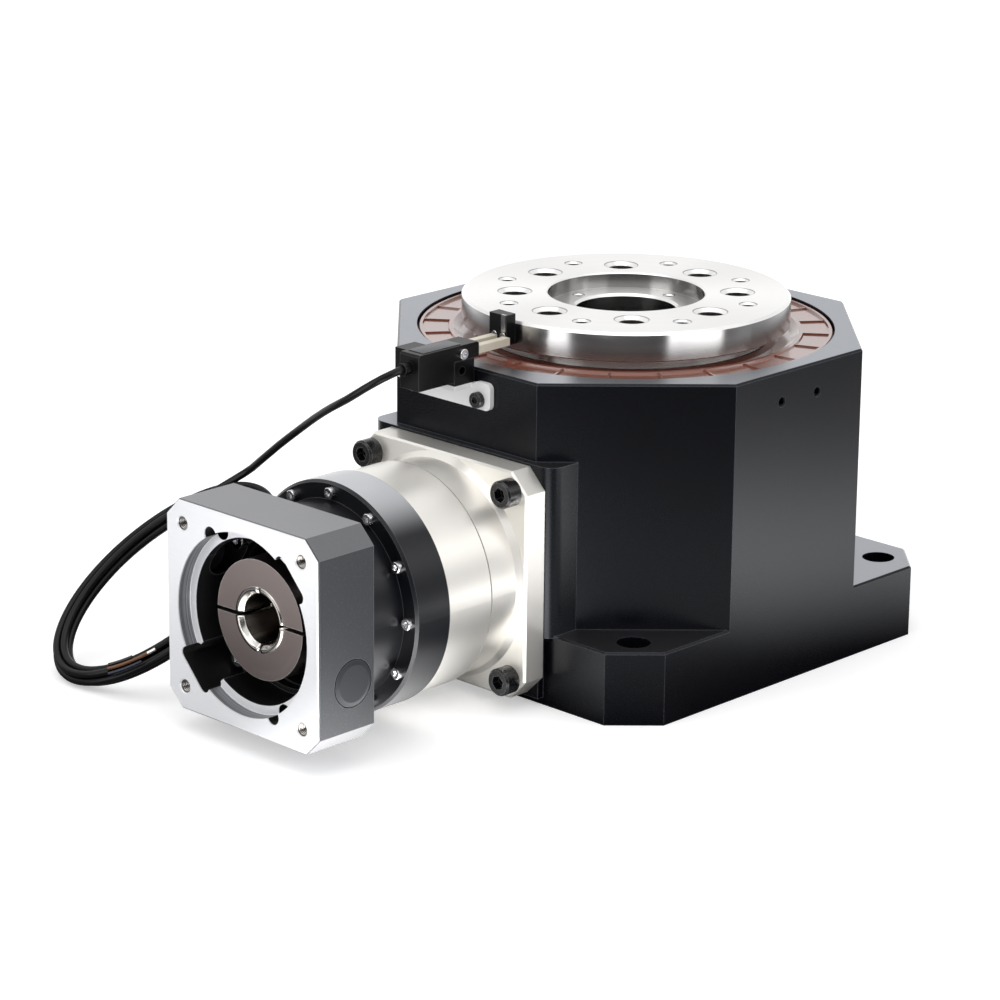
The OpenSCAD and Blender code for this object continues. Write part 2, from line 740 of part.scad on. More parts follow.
module planet_gear(k) {
    color([0.55, 0.53, 0.5]) on_gearbox() rotate([0, 0, 90 + 360 * k / planet_count])
        translate([planet_orbit, 0, planet_d0]) difference() {
            linear_extrude(planet_w)
                polygon(gear_outline(planet_teeth, planet_m, planet_m, 1.25 * planet_m, backlash));
            translate([0, 0, -1]) cylinder(h = planet_w + 2, r = pin_r + run);
        }
}

module sun_shaft() {
    color([0.55, 0.53, 0.5]) on_gearbox() {
        translate([0, 0, planet_d0]) rotate([0, 0, 180 / sun_teeth]) linear_extrude(planet_w + 1)
            polygon(gear_outline(sun_teeth, planet_m, planet_m, 1.25 * planet_m, backlash));
        tube(planet_d0 + planet_w + 1 - eps, bell_d0 + 1, 6.5);
        tube(bell_d0 + 1 - eps, hub_back, input_r);
    }
}

// ---------- motor side ----------

module input_bell() {
    color([0.12, 0.12, 0.13]) on_gearbox() difference() {
        union() {
            tube(bell_d0, neck_d0, bell_d / 2);
            tube(neck_d0 - 1, adapter_d0, neck_d / 2);
        }
        translate([0, 0, bell_d0 - 1]) cylinder(h = 50, r = input_r + 1);
        translate([0, 0, bell_d0 + 3])
            cylinder(h = input_bearing_w + 50, r = input_bearing_r + fit);
        translate([0, 0, neck_d0 + 2]) cylinder(h = 50, r = adapter_cavity_r - 2);
        ring_of(bell_screws_n, bell_screw_pcd / 2) translate([0, 0, bell_d0 - 1])
            cylinder(h = bell_len + 2, r = 1 + screw_gap, $fn = 24);
        ring_of(4, adapter_screw_r, 45) translate([0, 0, adapter_d0 - 10])
            cylinder(h = 12, r = small_screw_r + screw_gap, $fn = 24);
        translate([0, 0, neck_d0]) rotate_extrude()
            polygon([[bell_d / 2 - 1, 0], [bell_d / 2 + 1, 1], [bell_d / 2 + 1, -2]]);
    }
}

module bell_screws() {
    color([0.75, 0.75, 0.77]) on_gearbox() ring_of(bell_screws_n, bell_screw_pcd / 2)
        translate([0, 0, neck_d0]) socket_screw(1, bell_len + 7, 2.2, 2.2);
}

module input_bearing() {
    color([0.75, 0.76, 0.78]) on_gearbox()
        tube(bell_d0 + 3, bell_d0 + 3 + input_bearing_w, input_bearing_r, input_r + run);
}

// Square adapter with the motor's pilot, and a cast hollow with two wide and two round notches
module motor_adapter() {
    color([0.24, 0.25, 0.27]) on_gearbox() difference() {
        translate([0, 0, adapter_d0]) linear_extrude(adapter_len)
            cut_square(adapter_w, adapter_chamfer);
        edge_breaks(adapter_w, adapter_chamfer, adapter_d1);
        translate([0, 0, adapter_d1 - pilot_depth]) cylinder(h = 20, r = pilot_d / 2);
        translate([0, 0, adapter_d0 + adapter_floor]) cylinder(h = 60, r = adapter_cavity_r);
        translate([0, 0, adapter_d0 - 1]) cylinder(h = 20, r = adapter_cavity_r - 2);
        for (turn = [0, 180]) rotate([0, 0, turn]) {
            rotate([0, 0, 118]) translate([pilot_d / 2, 0, adapter_d0 + adapter_floor])
                cylinder(h = 60, r = 3.2, $fn = 32);
            rotate([0, 0, 42.5]) wide_notch();
            translate([0, -plug_offset, (collar_front - collar_len / 2)]) rotate([0, 90, 0])
                cylinder(h = adapter_w, r = plug_d / 2 - 2);
            translate([adapter_w / 2 - plug_t, -plug_offset, (collar_front - collar_len / 2)])
                rotate([0, 90, 0]) cylinder(h = plug_t + 1, r = plug_d / 2 + fit);
        }
        ring_of(4, motor_pcd / 2, 45) translate([0, 0, adapter_d1])
            tapped_hole(motor_hole_d, 15, motor_hole_d + 1);
        ring_of(4, adapter_screw_r, 45) translate([0, 0, adapter_d0 - 1])
            cylinder(h = 12, r = small_screw_r + screw_gap, $fn = 24);
        ring_of(4, adapter_screw_r, 45) translate([0, 0, adapter_d0 + adapter_floor])
            cylinder(h = 60, r = 4.4, $fn = 32);
    }
}

// Wide notch through the pilot's wall, with round corners
module wide_notch() {
    translate([0, 0, adapter_d0 + adapter_floor]) linear_extrude(60) hull() for (s = [-1, 1])
        rotate(s * 11.5) translate([pilot_d / 2 + 0.7, 0]) circle(r = 2.6, $fn = 24);
    translate([20, -8, adapter_d0 + adapter_floor]) cube([14, 16, 60]);
}

module adapter_screws() {
    color([0.6, 0.6, 0.62]) on_gearbox() ring_of(4, adapter_screw_r, 45)
        translate([0, 0, adapter_d0 + adapter_floor]) socket_screw(small_screw_r, 13, 3.6, 4);
}

module access_plugs() {
    color([0.1, 0.1, 0.11]) on_gearbox() for (turn = [0, 180]) rotate([0, 0, turn])
        translate([adapter_w / 2 - plug_t, -plug_offset, (collar_front - collar_len / 2)])
            rotate([0, 90, 0]) {
                cylinder(h = plug_t - plug_groove_t, r = plug_d / 2);
                translate([0, 0, plug_t - plug_groove_t - eps])
                    cylinder(h = plug_groove_t + eps, r = plug_d / 2 - plug_groove_w);
                translate([0, 0, plug_t - eps]) cylinder(h = plug_rise + eps,
                    r1 = plug_d / 2 - plug_groove_w, r2 = plug_d / 2 - plug_groove_w - 3 * plug_rise);
                translate([0, 0, -3]) cylinder(h = 3 + eps, r = plug_d / 2 - 2.4);
            }
}

// Split bushing that takes the motor shaft
module clamp_hub() {
    color([0.75, 0.73, 0.7]) on_gearbox() rotate([0, 0, collar_turn]) difference() {
        union() {
            tube(hub_back, collar_front - collar_len - 1, collar_d / 2 - 3);
            tube(hub_back, hub_front, hub_tube_r);
        }
        translate([0, 0, hub_back + 3]) cylinder(h = 60, r = shaft_d / 2);
        translate([0, 0, hub_front - hub_cone])
            cylinder(h = hub_cone + eps, r1 = shaft_d / 2, r2 = shaft_d / 2 + hub_cone + eps);
        for (turn = [0, 90, 180, 270]) rotate([0, 0, turn])
            translate([0, -slit_w / 2, collar_front - collar_len]) cube([30, slit_w, 60]);
    }
}

// Two half rings that close on the bushing
module clamp_collar() {
    color([0.45, 0.4, 0.39]) on_gearbox() rotate([0, 0, collar_turn]) difference() {
        tube(collar_front - collar_len, collar_front, collar_d / 2, hub_tube_r + fit);
        translate([-50, -slit_w / 2, 0]) cube([100, slit_w, 400]);
        for (s = [-1, 1]) translate([s * 17.6, 0, collar_front - collar_len / 2])
            rotate([90, 0, 0]) {
                cylinder(h = 60, r = 2 + screw_gap, center = true, $fn = 24);
                translate([0, 0, s * 6]) mirror([0, 0, s < 0 ? 1 : 0]) cylinder(h = 30, r = 3.9, $fn = 32);
            }
    }
}

module clamp_screws() {
    color([0.12, 0.12, 0.13]) on_gearbox() rotate([0, 0, collar_turn])
        for (s = [-1, 1]) translate([s * 17.6, 0, collar_front - collar_len / 2])
            rotate([90, 0, 0]) mirror([0, 0, s < 0 ? 1 : 0]) translate([0, 0, 6])
                socket_screw(2, 15, 3.6, 4);
}

// ---------- sensor ----------

module sensor_bracket() {
    r = 2.5;
    color([0.85, 0.85, 0.84]) difference() {
        translate([0, -half, 0]) rotate([90, 0, 0]) linear_extrude(bracket_t) union() {
            hull() for (x = [bracket_x0 + r, bracket_x1 - r], z = [bracket_z0 + r, bar_z0 - r])
                translate([x, z]) circle(r = r, $fn = 32);
            hull() for (x = [bar_x1 + 1 + r, bracket_x1 - r], z = [bracket_z0 + r, bracket_z1 - r])
                translate([x, z]) circle(r = r, $fn = 32);
            translate([bar_x0, bar_z0 - 4]) square([bar_x1 - bar_x0, 4]);
        }
        for (x = bracket_screw_x) translate([x, -half + 1, (bracket_z0 + bracket_z1) / 2 - 1.6])
            rotate([90, 0, 0]) cylinder(h = 9, r = small_screw_r + screw_gap, $fn = 24);
    }
    // shelf under the bar
    color([0.85, 0.85, 0.84])
        translate([bar_x0, bar_y0, bar_z0 - bracket_t]) cube([bar_x1 - bar_x0, 10, bracket_t]);
}

module bracket_screws() {
    color([0.08, 0.08, 0.09])
        for (x = bracket_screw_x) translate([x, bracket_y, (bracket_z0 + bracket_z1) / 2 - 1.6])
            rotate([90, 0, 0]) socket_screw(small_screw_r, 8, 3.1, 2.4);
}

module sensor_bar() {
    color([0.07, 0.07, 0.08]) difference() {
        translate([bar_x0, bar_y0, bar_z0])
            cube([bar_x1 - bar_x0, -bar_y0 - half - bracket_t + 1.5, bar_z1 - bar_z0]);
        translate([-sensor_w, clamp_y, bar_z1 - 4]) rotate([0, 90, 0])
            cylinder(h = 40, r = 1.5 + screw_gap, center = true, $fn = 24);
    }
}

// Side profile: shallow over the bar, deep behind it
module sensor_body() {
    deep = sensor_top - sensor_h;
    color([0.1, 0.1, 0.11]) difference() {
        translate([-sensor_w / 2, 0, 0]) rotate([90, 0, 90]) linear_extrude(sensor_w) polygon([
            [sensor_y0, deep], [bar_y0 - 0.2, deep], [bar_y0 - 0.2, bar_z1], [sensor_y1, bar_z1],
            [sensor_y1, sensor_top - 0.8], [sensor_y1 - 0.8, sensor_top], [sensor_y0 + 0.8, sensor_top],
            [sensor_y0, sensor_top - 0.8]]);
        for (x = prong_x) translate([x - 1.6, sensor_y1 - 4, bar_z1 + 1]) cube([3.2, 5, 3]);
        translate([0, sensor_y0 + 3, cable_z]) rotate([90, 0, 0]) cylinder(h = 5, r = cable_d / 2 + 1);
        translate([0, clamp_y, sensor_top - 3.4]) rotate([0, 90, 0])
            cylinder(h = 40, r = 1.2 + screw_gap, center = true, $fn = 24);
    }
}

module sensor_prongs() {
    color([0.9, 0.88, 0.8]) for (x = prong_x)
        translate([x - 1.6, sensor_y1 - 4, bar_z1 + 1])
            cube([3.2, 4 + prong_len - 1, 3]);
}

// Cross screw with a head on each side of the sensor
module sensor_screws() {
    color([0.8, 0.8, 0.82]) {
        translate([sensor_w / 2, clamp_y, sensor_top - 3.4]) rotate([0, 90, 0])
            socket_screw(1.2, sensor_w, 2.1, 1.4);
        translate([-sensor_w / 2, clamp_y, sensor_top - 3.4]) rotate([0, -90, 0])
            difference() {
                cylinder(h = 1.6, r = 2.3, $fn = 32);
                translate([0, 0, 0.8]) cylinder(h = 2, r = 1.2, $fn = 6);
            }
    }
}

module cable_gland() {
    color([0.07, 0.07, 0.08]) translate([0, sensor_y0 + 3, cable_z]) rotate([90, 0, 0]) {
        tube(0, 3 + gland_len - 1, cable_d / 2 + 1 - fit);
    }
}

// ---------- cable ----------

function unit(v) = v / norm(v);
function tangent(path, i) =
    unit(path[min(i + 1, len(path) - 1)] - path[max(i - 1, 0)]);

// Points of a smooth curve through a route, by Catmull-Rom pieces
function smooth(route, steps) =
    [for (i = [0:len(route) - 2], s = [0:steps - 1])
        let (t = s / steps,
             a = route[max(i - 1, 0)], b = route[i], c = route[i + 1],
             d = route[min(i + 2, len(route) - 1)])
        b + t / 2 * (c - a) + t * t / 2 * (2 * a - 5 * b + 4 * c - d)
          + t * t * t / 2 * (3 * b - a - 3 * c + d),
     route[len(route) - 1]];

// Side directions that turn as little as possible along the path
function side_next(side, t) = unit(side - (side * t) * t);
function sides(path, i = 0, last = [0.31, 0.2, 0.93]) =
    i == len(path) ? [] :
    let (s = side_next(last, tangent(path, i))) concat([s], sides(path, i + 1, s));

// One closed tube swept along a path
module cable(path, r, n = 8) {
    s = sides(path);
    count = len(path);
    points = [for (i = [0:count - 1], k = [0:n - 1])
        let (t = tangent(path, i), u = s[i], v = cross(t, u))
        path[i] + r * (cos(360 * k / n) * u + sin(360 * k / n) * v)];
    faces = concat(
        [[for (k = [n - 1:-1:0]) k]],
        [for (i = [0:count - 2], k = [0:n - 1])
            let (a = i * n + k, b = i * n + (k + 1) % n)
            each [[a, b, b + n], [a, b + n, a + n]]],
        [[for (k = [0:n - 1]) (count - 1) * n + k]]);
    polyhedron(points, [for (f = faces) [for (i = [len(f) - 1:-1:0]) f[i]]]);
}

// Point of the hank's middle line, and the direction the cable runs there
function hank_point(a) = hank_centre + cos(a) * hank_long + sin(a) * hank_short;
function hank_along(a) = unit(cos(a) * hank_short - sin(a) * hank_long);
// Point beside the hank's middle line, at a distance on the given side
function beside_hank(a, side, r) = hank_point(a) + r * side_next(side, hank_along(a));

module cable_lead() {
    steps = [for (p = lead_steps) [p[0], -(half + p[1]), p[2]]];
    exit = [0, sensor_y0 + 1 - gland_len, cable_z];
    straight = [0, exit[1] - 0.8, cable_z];
    // the first step runs straight out, so that the lead's end meets the gland squarely
    path = concat([exit], smooth(concat([straight], steps, [hank_point(lead_end)]), 3));
    color([0.06, 0.06, 0.06]) cable(path, cable_d / 2);
}

// The hank: one closed ring of the bundle's outer shape
module cable_coil() {
    rings = 48;
    n = 12;
    axis = unit(cross(hank_long, hank_short));
    points = [for (i = [0:rings - 1], k = [0:n - 1])
        let (a = 360 * i / rings, b = 360 * k / n, out = cross(hank_along(a), axis))
        hank_point(a) + bundle_r * (cos(b) * out + sin(b) * axis)];
    faces = [for (i = [0:rings - 1], k = [0:n - 1])
        let (p = i * n + k, q = i * n + (k + 1) % n,
             r = ((i + 1) % rings) * n + k, s = ((i + 1) % rings) * n + (k + 1) % n)
        each [[p, q, s], [p, s, r]]];
    color([0.06, 0.06, 0.06]) polyhedron(points, faces);
}

// The tail lies half sunk in the hank's side
module cable_tail() {
    color([0.06, 0.06, 0.06]) cable([for (a = [tail_from:4:tail_to])
        beside_hank(a, tail_side, bundle_r - 0.6)], cable_d / 2);
}

// Stripped cores at the end of the tail, side by side on the hank
module cable_cores() {
    colours = [[0.35, 0.2, 0.1], [0.1, 0.2, 0.5], [0.1, 0.1, 0.1]];
    for (k = [0:2]) color(colours[k]) cable([for (a = [tail_to + 1:2:core_to - 4 * k])
        beside_hank(a, tail_side + [0, 1, -1][k] * core_spread, bundle_r + core_d / 2 + 0.1)],
        core_d / 2);
}

housing();
bottom_cover();
cover_screws();
bottom_seal();
lower_bearing();
bearing_outer_ring();
bearing_retainer();
retainer_screws();
table_seal();
gearbox_body();
flange_screws();
ring_gear();
output_bearings();
input_bell();
bell_screws();
input_bearing();
motor_adapter();
adapter_screws();
access_plugs();
sensor_bracket();
bracket_screws();
sensor_bar();
sensor_body();
sensor_prongs();
sensor_screws();
cable_gland();
cable_lead();
cable_coil();
cable_tail();
cable_cores();
rotary_table();
table_gear();
table_gear_screws();
bearing_inner_ring();
bearing_spacer();
sensor_dog();
dog_screws();
bearing_rollers();
planet_carrier();
output_pinion();
planet_gear(0);  // planet_gear_1
planet_gear(1);  // planet_gear_2
planet_gear(2);  // planet_gear_3
sun_shaft();
clamp_hub();
clamp_collar();
clamp_screws();
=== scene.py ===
"""Looks of the hollow rotary platform: its finishes, its small pieces, its cable and the studio."""
import json
import math

import bmesh
import bpy
from mathutils import Matrix, Vector


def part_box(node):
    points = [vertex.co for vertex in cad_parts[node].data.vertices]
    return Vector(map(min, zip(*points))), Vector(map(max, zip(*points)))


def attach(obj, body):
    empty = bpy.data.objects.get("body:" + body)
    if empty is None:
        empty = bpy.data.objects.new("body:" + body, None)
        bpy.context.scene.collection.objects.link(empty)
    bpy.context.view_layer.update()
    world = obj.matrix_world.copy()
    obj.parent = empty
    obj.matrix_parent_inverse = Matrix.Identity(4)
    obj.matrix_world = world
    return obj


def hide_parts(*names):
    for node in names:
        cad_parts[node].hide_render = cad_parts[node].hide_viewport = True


bl_info = {
    "name": "Hollow rotary platform",
    "version": (1, 0, 0),
    "blender": (4, 5, 0),
    "location": "View3D > Sidebar > Platform",
    "description": "Finishes, small pieces, cable and studio of a hollow rotary platform",
    "category": "Object",
}

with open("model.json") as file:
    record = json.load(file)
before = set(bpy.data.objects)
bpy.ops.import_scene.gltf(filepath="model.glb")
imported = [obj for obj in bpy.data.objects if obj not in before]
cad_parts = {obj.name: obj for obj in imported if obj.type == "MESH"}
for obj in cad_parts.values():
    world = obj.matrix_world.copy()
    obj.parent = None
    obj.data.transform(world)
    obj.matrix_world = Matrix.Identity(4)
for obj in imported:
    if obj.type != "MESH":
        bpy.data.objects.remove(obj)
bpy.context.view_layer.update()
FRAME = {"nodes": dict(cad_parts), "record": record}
MM = 0.001
AXIS_Z = sum(corner.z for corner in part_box("motor_adapter")) / 2
ADAPTER_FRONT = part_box("motor_adapter")[0].y
HUB_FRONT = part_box("clamp_hub")[0].y
MOUNTS = {mount["name"]: mount for mount in FRAME["record"]["mounts"]}
SHARP = math.radians(35)
WELD = 0.000001

# Brightness that mirrors see, by bearing in degrees from the front towards the right
STUDIO = ((-180, 0.40), (-150, 0.39), (-130, 0.44), (-85, 0.40), (-58, 0.06), (-38, 0.03),
          (-32, 0.015), (-29, 1.0), (3, 1.0), (6, 0.015), (40, 0.03), (69, 0.015), (72, 1.0),
          (108, 1.0), (111, 0.03), (125, 0.10), (150, 0.18), (180, 0.40))
# The same for the floor next to the object
NEARBY = ((-180, 1.0), (-160, 0.5), (-142, 0.10), (-120, 0.12), (-104, 0.6), (-90, 1.6),
          (-62, 1.8), (-52, 0.4), (-44, 0.03), (-6, 0.04), (4, 1.6), (12, 4.0), (30, 4.0),
          (37, 0.65), (42, 0.42), (55, 0.50), (70, 0.34), (92, 0.36), (106, 1.9), (119, 1.65),
          (130, 1.2), (142, 1.2), (158, 1.7), (180, 1.0))
SOFTBOX = 2.6
FAR_GAIN = 1.5
FAR_FADE = (0.30, 0.46)
NEAR_FADE = (0.47, 0.24)
# The nearby glow starts only away from the object: a painted shadow round its foot, seen in
# reflections.
NEAR_START = (0.10, 0.23)
ROOM_FADE = (0.31, 0.42)
ROOM_PLAIN = 0.62
FLOOR_GLOW = 0.42
LAMP_AIM = Vector((0, -0.05, 0.07))
LAMPS = (("lamp_top", (0.2, -0.3, 1.9), 13.0, 2.0, 2.0),
         ("lamp_right", (1.5, 0.9, 0.9), 3.0, 1.0, 0.8),
         ("lamp_left", (-0.4, -2.0, 1.2), 7.5, 1.2, 1.2))
CAMERA = Vector((0.9567, -1.0604, 0.4981))
CAMERA_AIM = Vector((-0.0180, -0.0520, 0.0600))
CAMERA_ROLL = math.radians(0.53)
CAMERA_LENS = 134.0


# ---------------------------------------------------------------- shader maths

class Value:
    """A node socket that can be used in arithmetic."""

    def __init__(self, paint, socket):
        self.paint = paint
        self.socket = socket

    def math(self, operation, *others):
        return self.paint.node("Math", {"operation": operation}, dict(enumerate((self, *others))))

    def __add__(self, other):
        return self.math("ADD", other)

    def __sub__(self, other):
        return self.math("SUBTRACT", other)

    def __mul__(self, other):
        return self.math("MULTIPLY", other)

    def __truediv__(self, other):
        return self.math("DIVIDE", other)

    def __pow__(self, other):
        return self.math("POWER", other)

    def __gt__(self, other):
        return self.math("GREATER_THAN", other)

    def __lt__(self, other):
        return self.math("LESS_THAN", other)

    def __rsub__(self, other):
        return self.paint.node("Math", {"operation": "SUBTRACT"}, {0: other, 1: self})

    def __rtruediv__(self, other):
        return self.paint.node("Math", {"operation": "DIVIDE"}, {0: other, 1: self})

    __radd__ = __add__
    __rmul__ = __mul__


class Paint:
    """Builds the node tree of a material or of the world."""

    def __init__(self, tree):
        self.tree = tree
        tree.nodes.clear()

    def node(self, kind, settings=None, inputs=None, output=0):
        """Any node: its type, then its settings, then its sockets."""
        made = self.tree.nodes.new("ShaderNode" + kind)
        for key, value in (settings or {}).items():
            if key == "stops":
                ramp = made.color_ramp
                while len(ramp.elements) < len(value):
                    ramp.elements.new(1.0)
                for element, (place, colour) in zip(ramp.elements, value):
                    element.position = place
                    element.color = (*colour, 1.0)
            else:
                setattr(made, key, value)
        for key, value in (inputs or {}).items():
            socket = made.inputs[key]
            if isinstance(value, Value):
                self.tree.links.new(value.socket, socket)
            else:
                socket.default_value = value
        return Value(self, made.outputs[output]) if made.outputs else None

    def outputs(self, value, *keys):
        """More outputs of the node that a value comes from."""
        return [Value(self, value.socket.node.outputs[key]) for key in keys]

    def mix(self, share, first, second):
        """Colour that goes from first to second."""
        return self.node("Mix", {"data_type": "RGBA"},
                         {0: share, 6: rgba(first), 7: rgba(second)}, 2)

    def dot(self, first, second):
        return self.node("VectorMath", {"operation": "DOT_PRODUCT"}, {0: first, 1: second}, 1)

    def place(self):
        """Object coordinates, in metres."""
        return self.node("TexCoord", {}, {}, "Object")

    def split(self, vector):
        return self.outputs(self.node("SeparateXYZ", {}, {0: vector}), 0, 1, 2)

    def noise(self, scale, detail=3.0, stretch=None):
        vector = self.place()
        if stretch:
            vector = self.node("Mapping", {}, {"Vector": vector, "Scale": stretch})
        return self.node("TexNoise", {}, {"Vector": vector, "Scale": scale, "Detail": detail})

    def rings(self, run, scale, detail=2.0):
        """Noise along one length, which makes the rings of turned metal."""
        return self.node("TexNoise", {"noise_dimensions": "1D"},
                         {"W": run, "Scale": scale, "Detail": detail})

    def smooth(self, value, low, high, start=0.0, end=1.0):
        """Smooth step of a value between two limits."""
        return self.node("MapRange", {"interpolation_type": "SMOOTHSTEP"},
                         {0: value, 1: low, 2: high, 3: start, 4: end})

    def to_holes(self, place, count, ring, start=0.0):
        """Distance to the nearest of a ring of upright holes."""
        x, y, _ = self.split(place)
        share = math.tau / count
        turn = (y.math("ARCTAN2", x) - start) / share
        off = (turn - turn.math("ROUND")) * share
        reach = (x * x + y * y) ** 0.5
        across = reach * off.math("COSINE") - ring
        beside = reach * off.math("SINE")
        return (across * across + beside * beside) ** 0.5

    def facing(self, axis):
        """How far the surface faces along x, y or z, from -1 to 1."""
        return self.split(self.node("NewGeometry", {}, {}, "Normal"))[axis]

    def edges(self, radius):
        """About 1 on sharp edges and 0 on flats."""
        soft = self.node("Bevel", {"samples": 6}, {"Radius": radius})
        flat = self.node("NewGeometry", {}, {}, "Normal")
        return self.smooth(self.dot(soft, flat), 0.995, 0.86)

    def bump(self, height, distance, strength=1.0):
        return self.node("Bump", {}, {"Height": height, "Distance": distance,
                                      "Strength": strength})

    def softboxes(self, x, y, table=STUDIO):
        """Brightness by the bearing of a direction or of a place on the floor."""
        bearing = x.math("ARCTAN2", 0 - y) / math.tau + 0.5
        steps = [(angle / 360 + 0.5, (level, level, level)) for angle, level in table]
        return self.split(self.node("ValToRGB", {"stops": steps}, {0: bearing}))[0] * SOFTBOX

    def surface(self, colour, roughness, metallic=0.0, normal=None, **others):
        inputs = {"Base Color": rgba(colour), "Roughness": roughness, "Metallic": metallic}
        inputs.update({key.replace("_", " "): value for key, value in others.items()})
        if normal:
            inputs["Normal"] = normal
        self.close(self.node("BsdfPrincipled", {}, inputs))

    def close(self, shader, kind="OutputMaterial"):
        self.node(kind, {}, {"Surface": shader})


def rgba(colour):
    """A colour as four numbers, and a link as it is."""
    return colour if isinstance(colour, Value) else (*colour[:3], 1.0)


def shaded(colour, share):
    """A colour with each of its parts times a share."""
    return tuple(share * part for part in colour)


def material(name):
    """A new material and the brush that paints it."""
    made = bpy.data.materials.new(name)
    made.use_nodes = True
    return made, Paint(made.node_tree)


# ---------------------------------------------------------------- finishes

def black_anodised(colour, milled_and_lit):
    """Black anodised aluminium: tops with milling strokes, shinier than the sides and lighter by a
    painted highlight.
    """
    made, paint = material("black_anodised")
    grain = paint.noise(2600, 2)
    cloud = paint.noise(14, 3)
    strokes = paint.noise(120, 3, (1.0, 9.0, 1.0))
    edge = paint.edges(0.0006)
    # Upward faces take the lighter top colour: a painted highlight.
    top = paint.smooth(paint.facing(2), 0.8, 0.95)
    sides = paint.mix(cloud, shaded(colour, 0.7), colour)
    tops = paint.mix(strokes, shaded(milled_and_lit, 0.88), milled_and_lit)
    base = paint.mix(top, sides, tops)
    # Lighter edges: partly wear, partly a painted highlight along the chamfers.
    base = paint.mix(edge * 0.4, base, (0.26, 0.28, 0.33))
    rough = 0.27 + (cloud - 0.5) * 0.05 + (grain - 0.5) * 0.05 + top * 0.04
    paint.surface(base, rough, top, paint.bump(grain, 0.00004, 0.5),
                  Specular_IOR_Level=0.2, Specular_Tint=(0.91, 0.95, 1.0, 1.0))
    return made


def turned(name, colour, rough, groove=9000.0, depth=0.000012, along="z", wear_and_highlight=0.25, holes=()):
    """Lathe-turned metal, with fine rings round the axis.

    Each of the holes is a mount's name, the bearing of its first hole and the width of its rim.
    Painted shade darkens them further down, and a painted dark line runs round the rim.
    """
    made, paint = material(name)
    place = paint.place()
    x, y, z = paint.split(place)
    depth_way, other = (z, y) if along == "z" else (y, z - AXIS_Z)
    flat = paint.facing(2 if along == "z" else 1).math("ABSOLUTE") > 0.3
    run = flat * (x * x + other * other) ** 0.5 + (1 - flat) * depth_way
    rings = paint.rings(run, groove)
    wide = paint.rings(run, groove / 9, 3.0)
    cloud = paint.noise(22, 3)
    edge = paint.edges(0.0004)
    shade = rings * 0.5 + wide * 0.5
    base = paint.mix(shade, shaded(colour, 0.93), colour)
    if holes:
        # Upright walls are darker than the tops: painted shade.
        wall = (1 - flat) * (1 - paint.smooth((x * x + y * y) ** 0.5, 0.045, 0.05) * 0.2)
        base = paint.mix(wall * 0.72, base, (0.06, 0.057, 0.055))
    # Lighter edges: partly wear, partly a painted highlight.
    base = paint.mix(edge * wear_and_highlight, base, (0.92, 0.92, 0.92))
    for mount, start, mouth in holes:
        dims = MOUNTS[mount]["dims"]
        radius = dims["hole_r_mm"] * MM
        far = paint.to_holes(place, dims["count"], dims["pcd_mm"] / 2 * MM, start)
        inside = far < radius + 0.00012
        top = MOUNTS[mount]["pos_m"][2]
        # Painted shade in each hole, darker further down, and a painted dark line round its rim.
        deep = paint.smooth(z, top, top - 0.008, 0.55, 0.97)
        rim = paint.smooth((far - (radius + mouth)).math("ABSOLUTE"), 0.00035, 0.00005) * 0.7
        dark = (inside * deep).math("MAXIMUM", rim)
        base = paint.mix(dark, base, (0.016, 0.013, 0.011))
    brushed = {} if along == "y" else {"Anisotropic": 0.88, "Anisotropic_Rotation": 0.25}
    if holes:
        rough = rough - (1 - flat) * 0.09
    paint.surface(base, rough + (wide - 0.5) * 0.05 + (cloud - 0.5) * 0.05, 1.0,
                  paint.bump(rings, depth), **brushed)
    return made


def bushing_finish(colour):
    """Split steel bushing, dark at its face, and dark in its bore by painted shade that deepens
    inwards.
    """
    made, paint = material("bushing_steel")
    bore = 0.0096
    x, y, z = paint.split(paint.place())
    off = z - AXIS_Z
    radius = (x * x + off * off) ** 0.5
    rings = paint.rings(y + radius, 5000.0)
    # Painted shade in the bore, darker further in.
    deep = paint.smooth(y, HUB_FRONT + 0.001, HUB_FRONT + 0.010, 0.88, 0.985)
    inside = (radius < bore) * deep
    face = (y < HUB_FRONT + 0.0001) * 0.72
    base = paint.mix(rings, shaded(colour, 0.85), colour)
    base = paint.mix(face, base, (0.10, 0.085, 0.08))
    base = paint.mix(inside, base, (0.020, 0.015, 0.012))
    paint.surface(base, 0.2 + (rings - 0.5) * 0.1, 1.0, paint.bump(rings, 0.000004))
    return made


def satin_nickel(colour):
    """Satin nickel plate of the gearbox."""
    made, paint = material("satin_nickel")
    grain = paint.noise(1900, 3)
    cloud = paint.noise(12, 3)
    edge = paint.edges(0.0007)
    base = paint.mix(cloud, shaded(colour, 0.93), colour)
    # Lighter edges: partly wear, partly a painted highlight.
    base = paint.mix(edge * 0.5, base, (0.96, 0.95, 0.92))
    paint.surface(base, 0.36 + (cloud - 0.5) * 0.08 + (grain - 0.5) * 0.1, 0.66,
                  paint.bump(grain, 0.00003, 0.4))
    return made


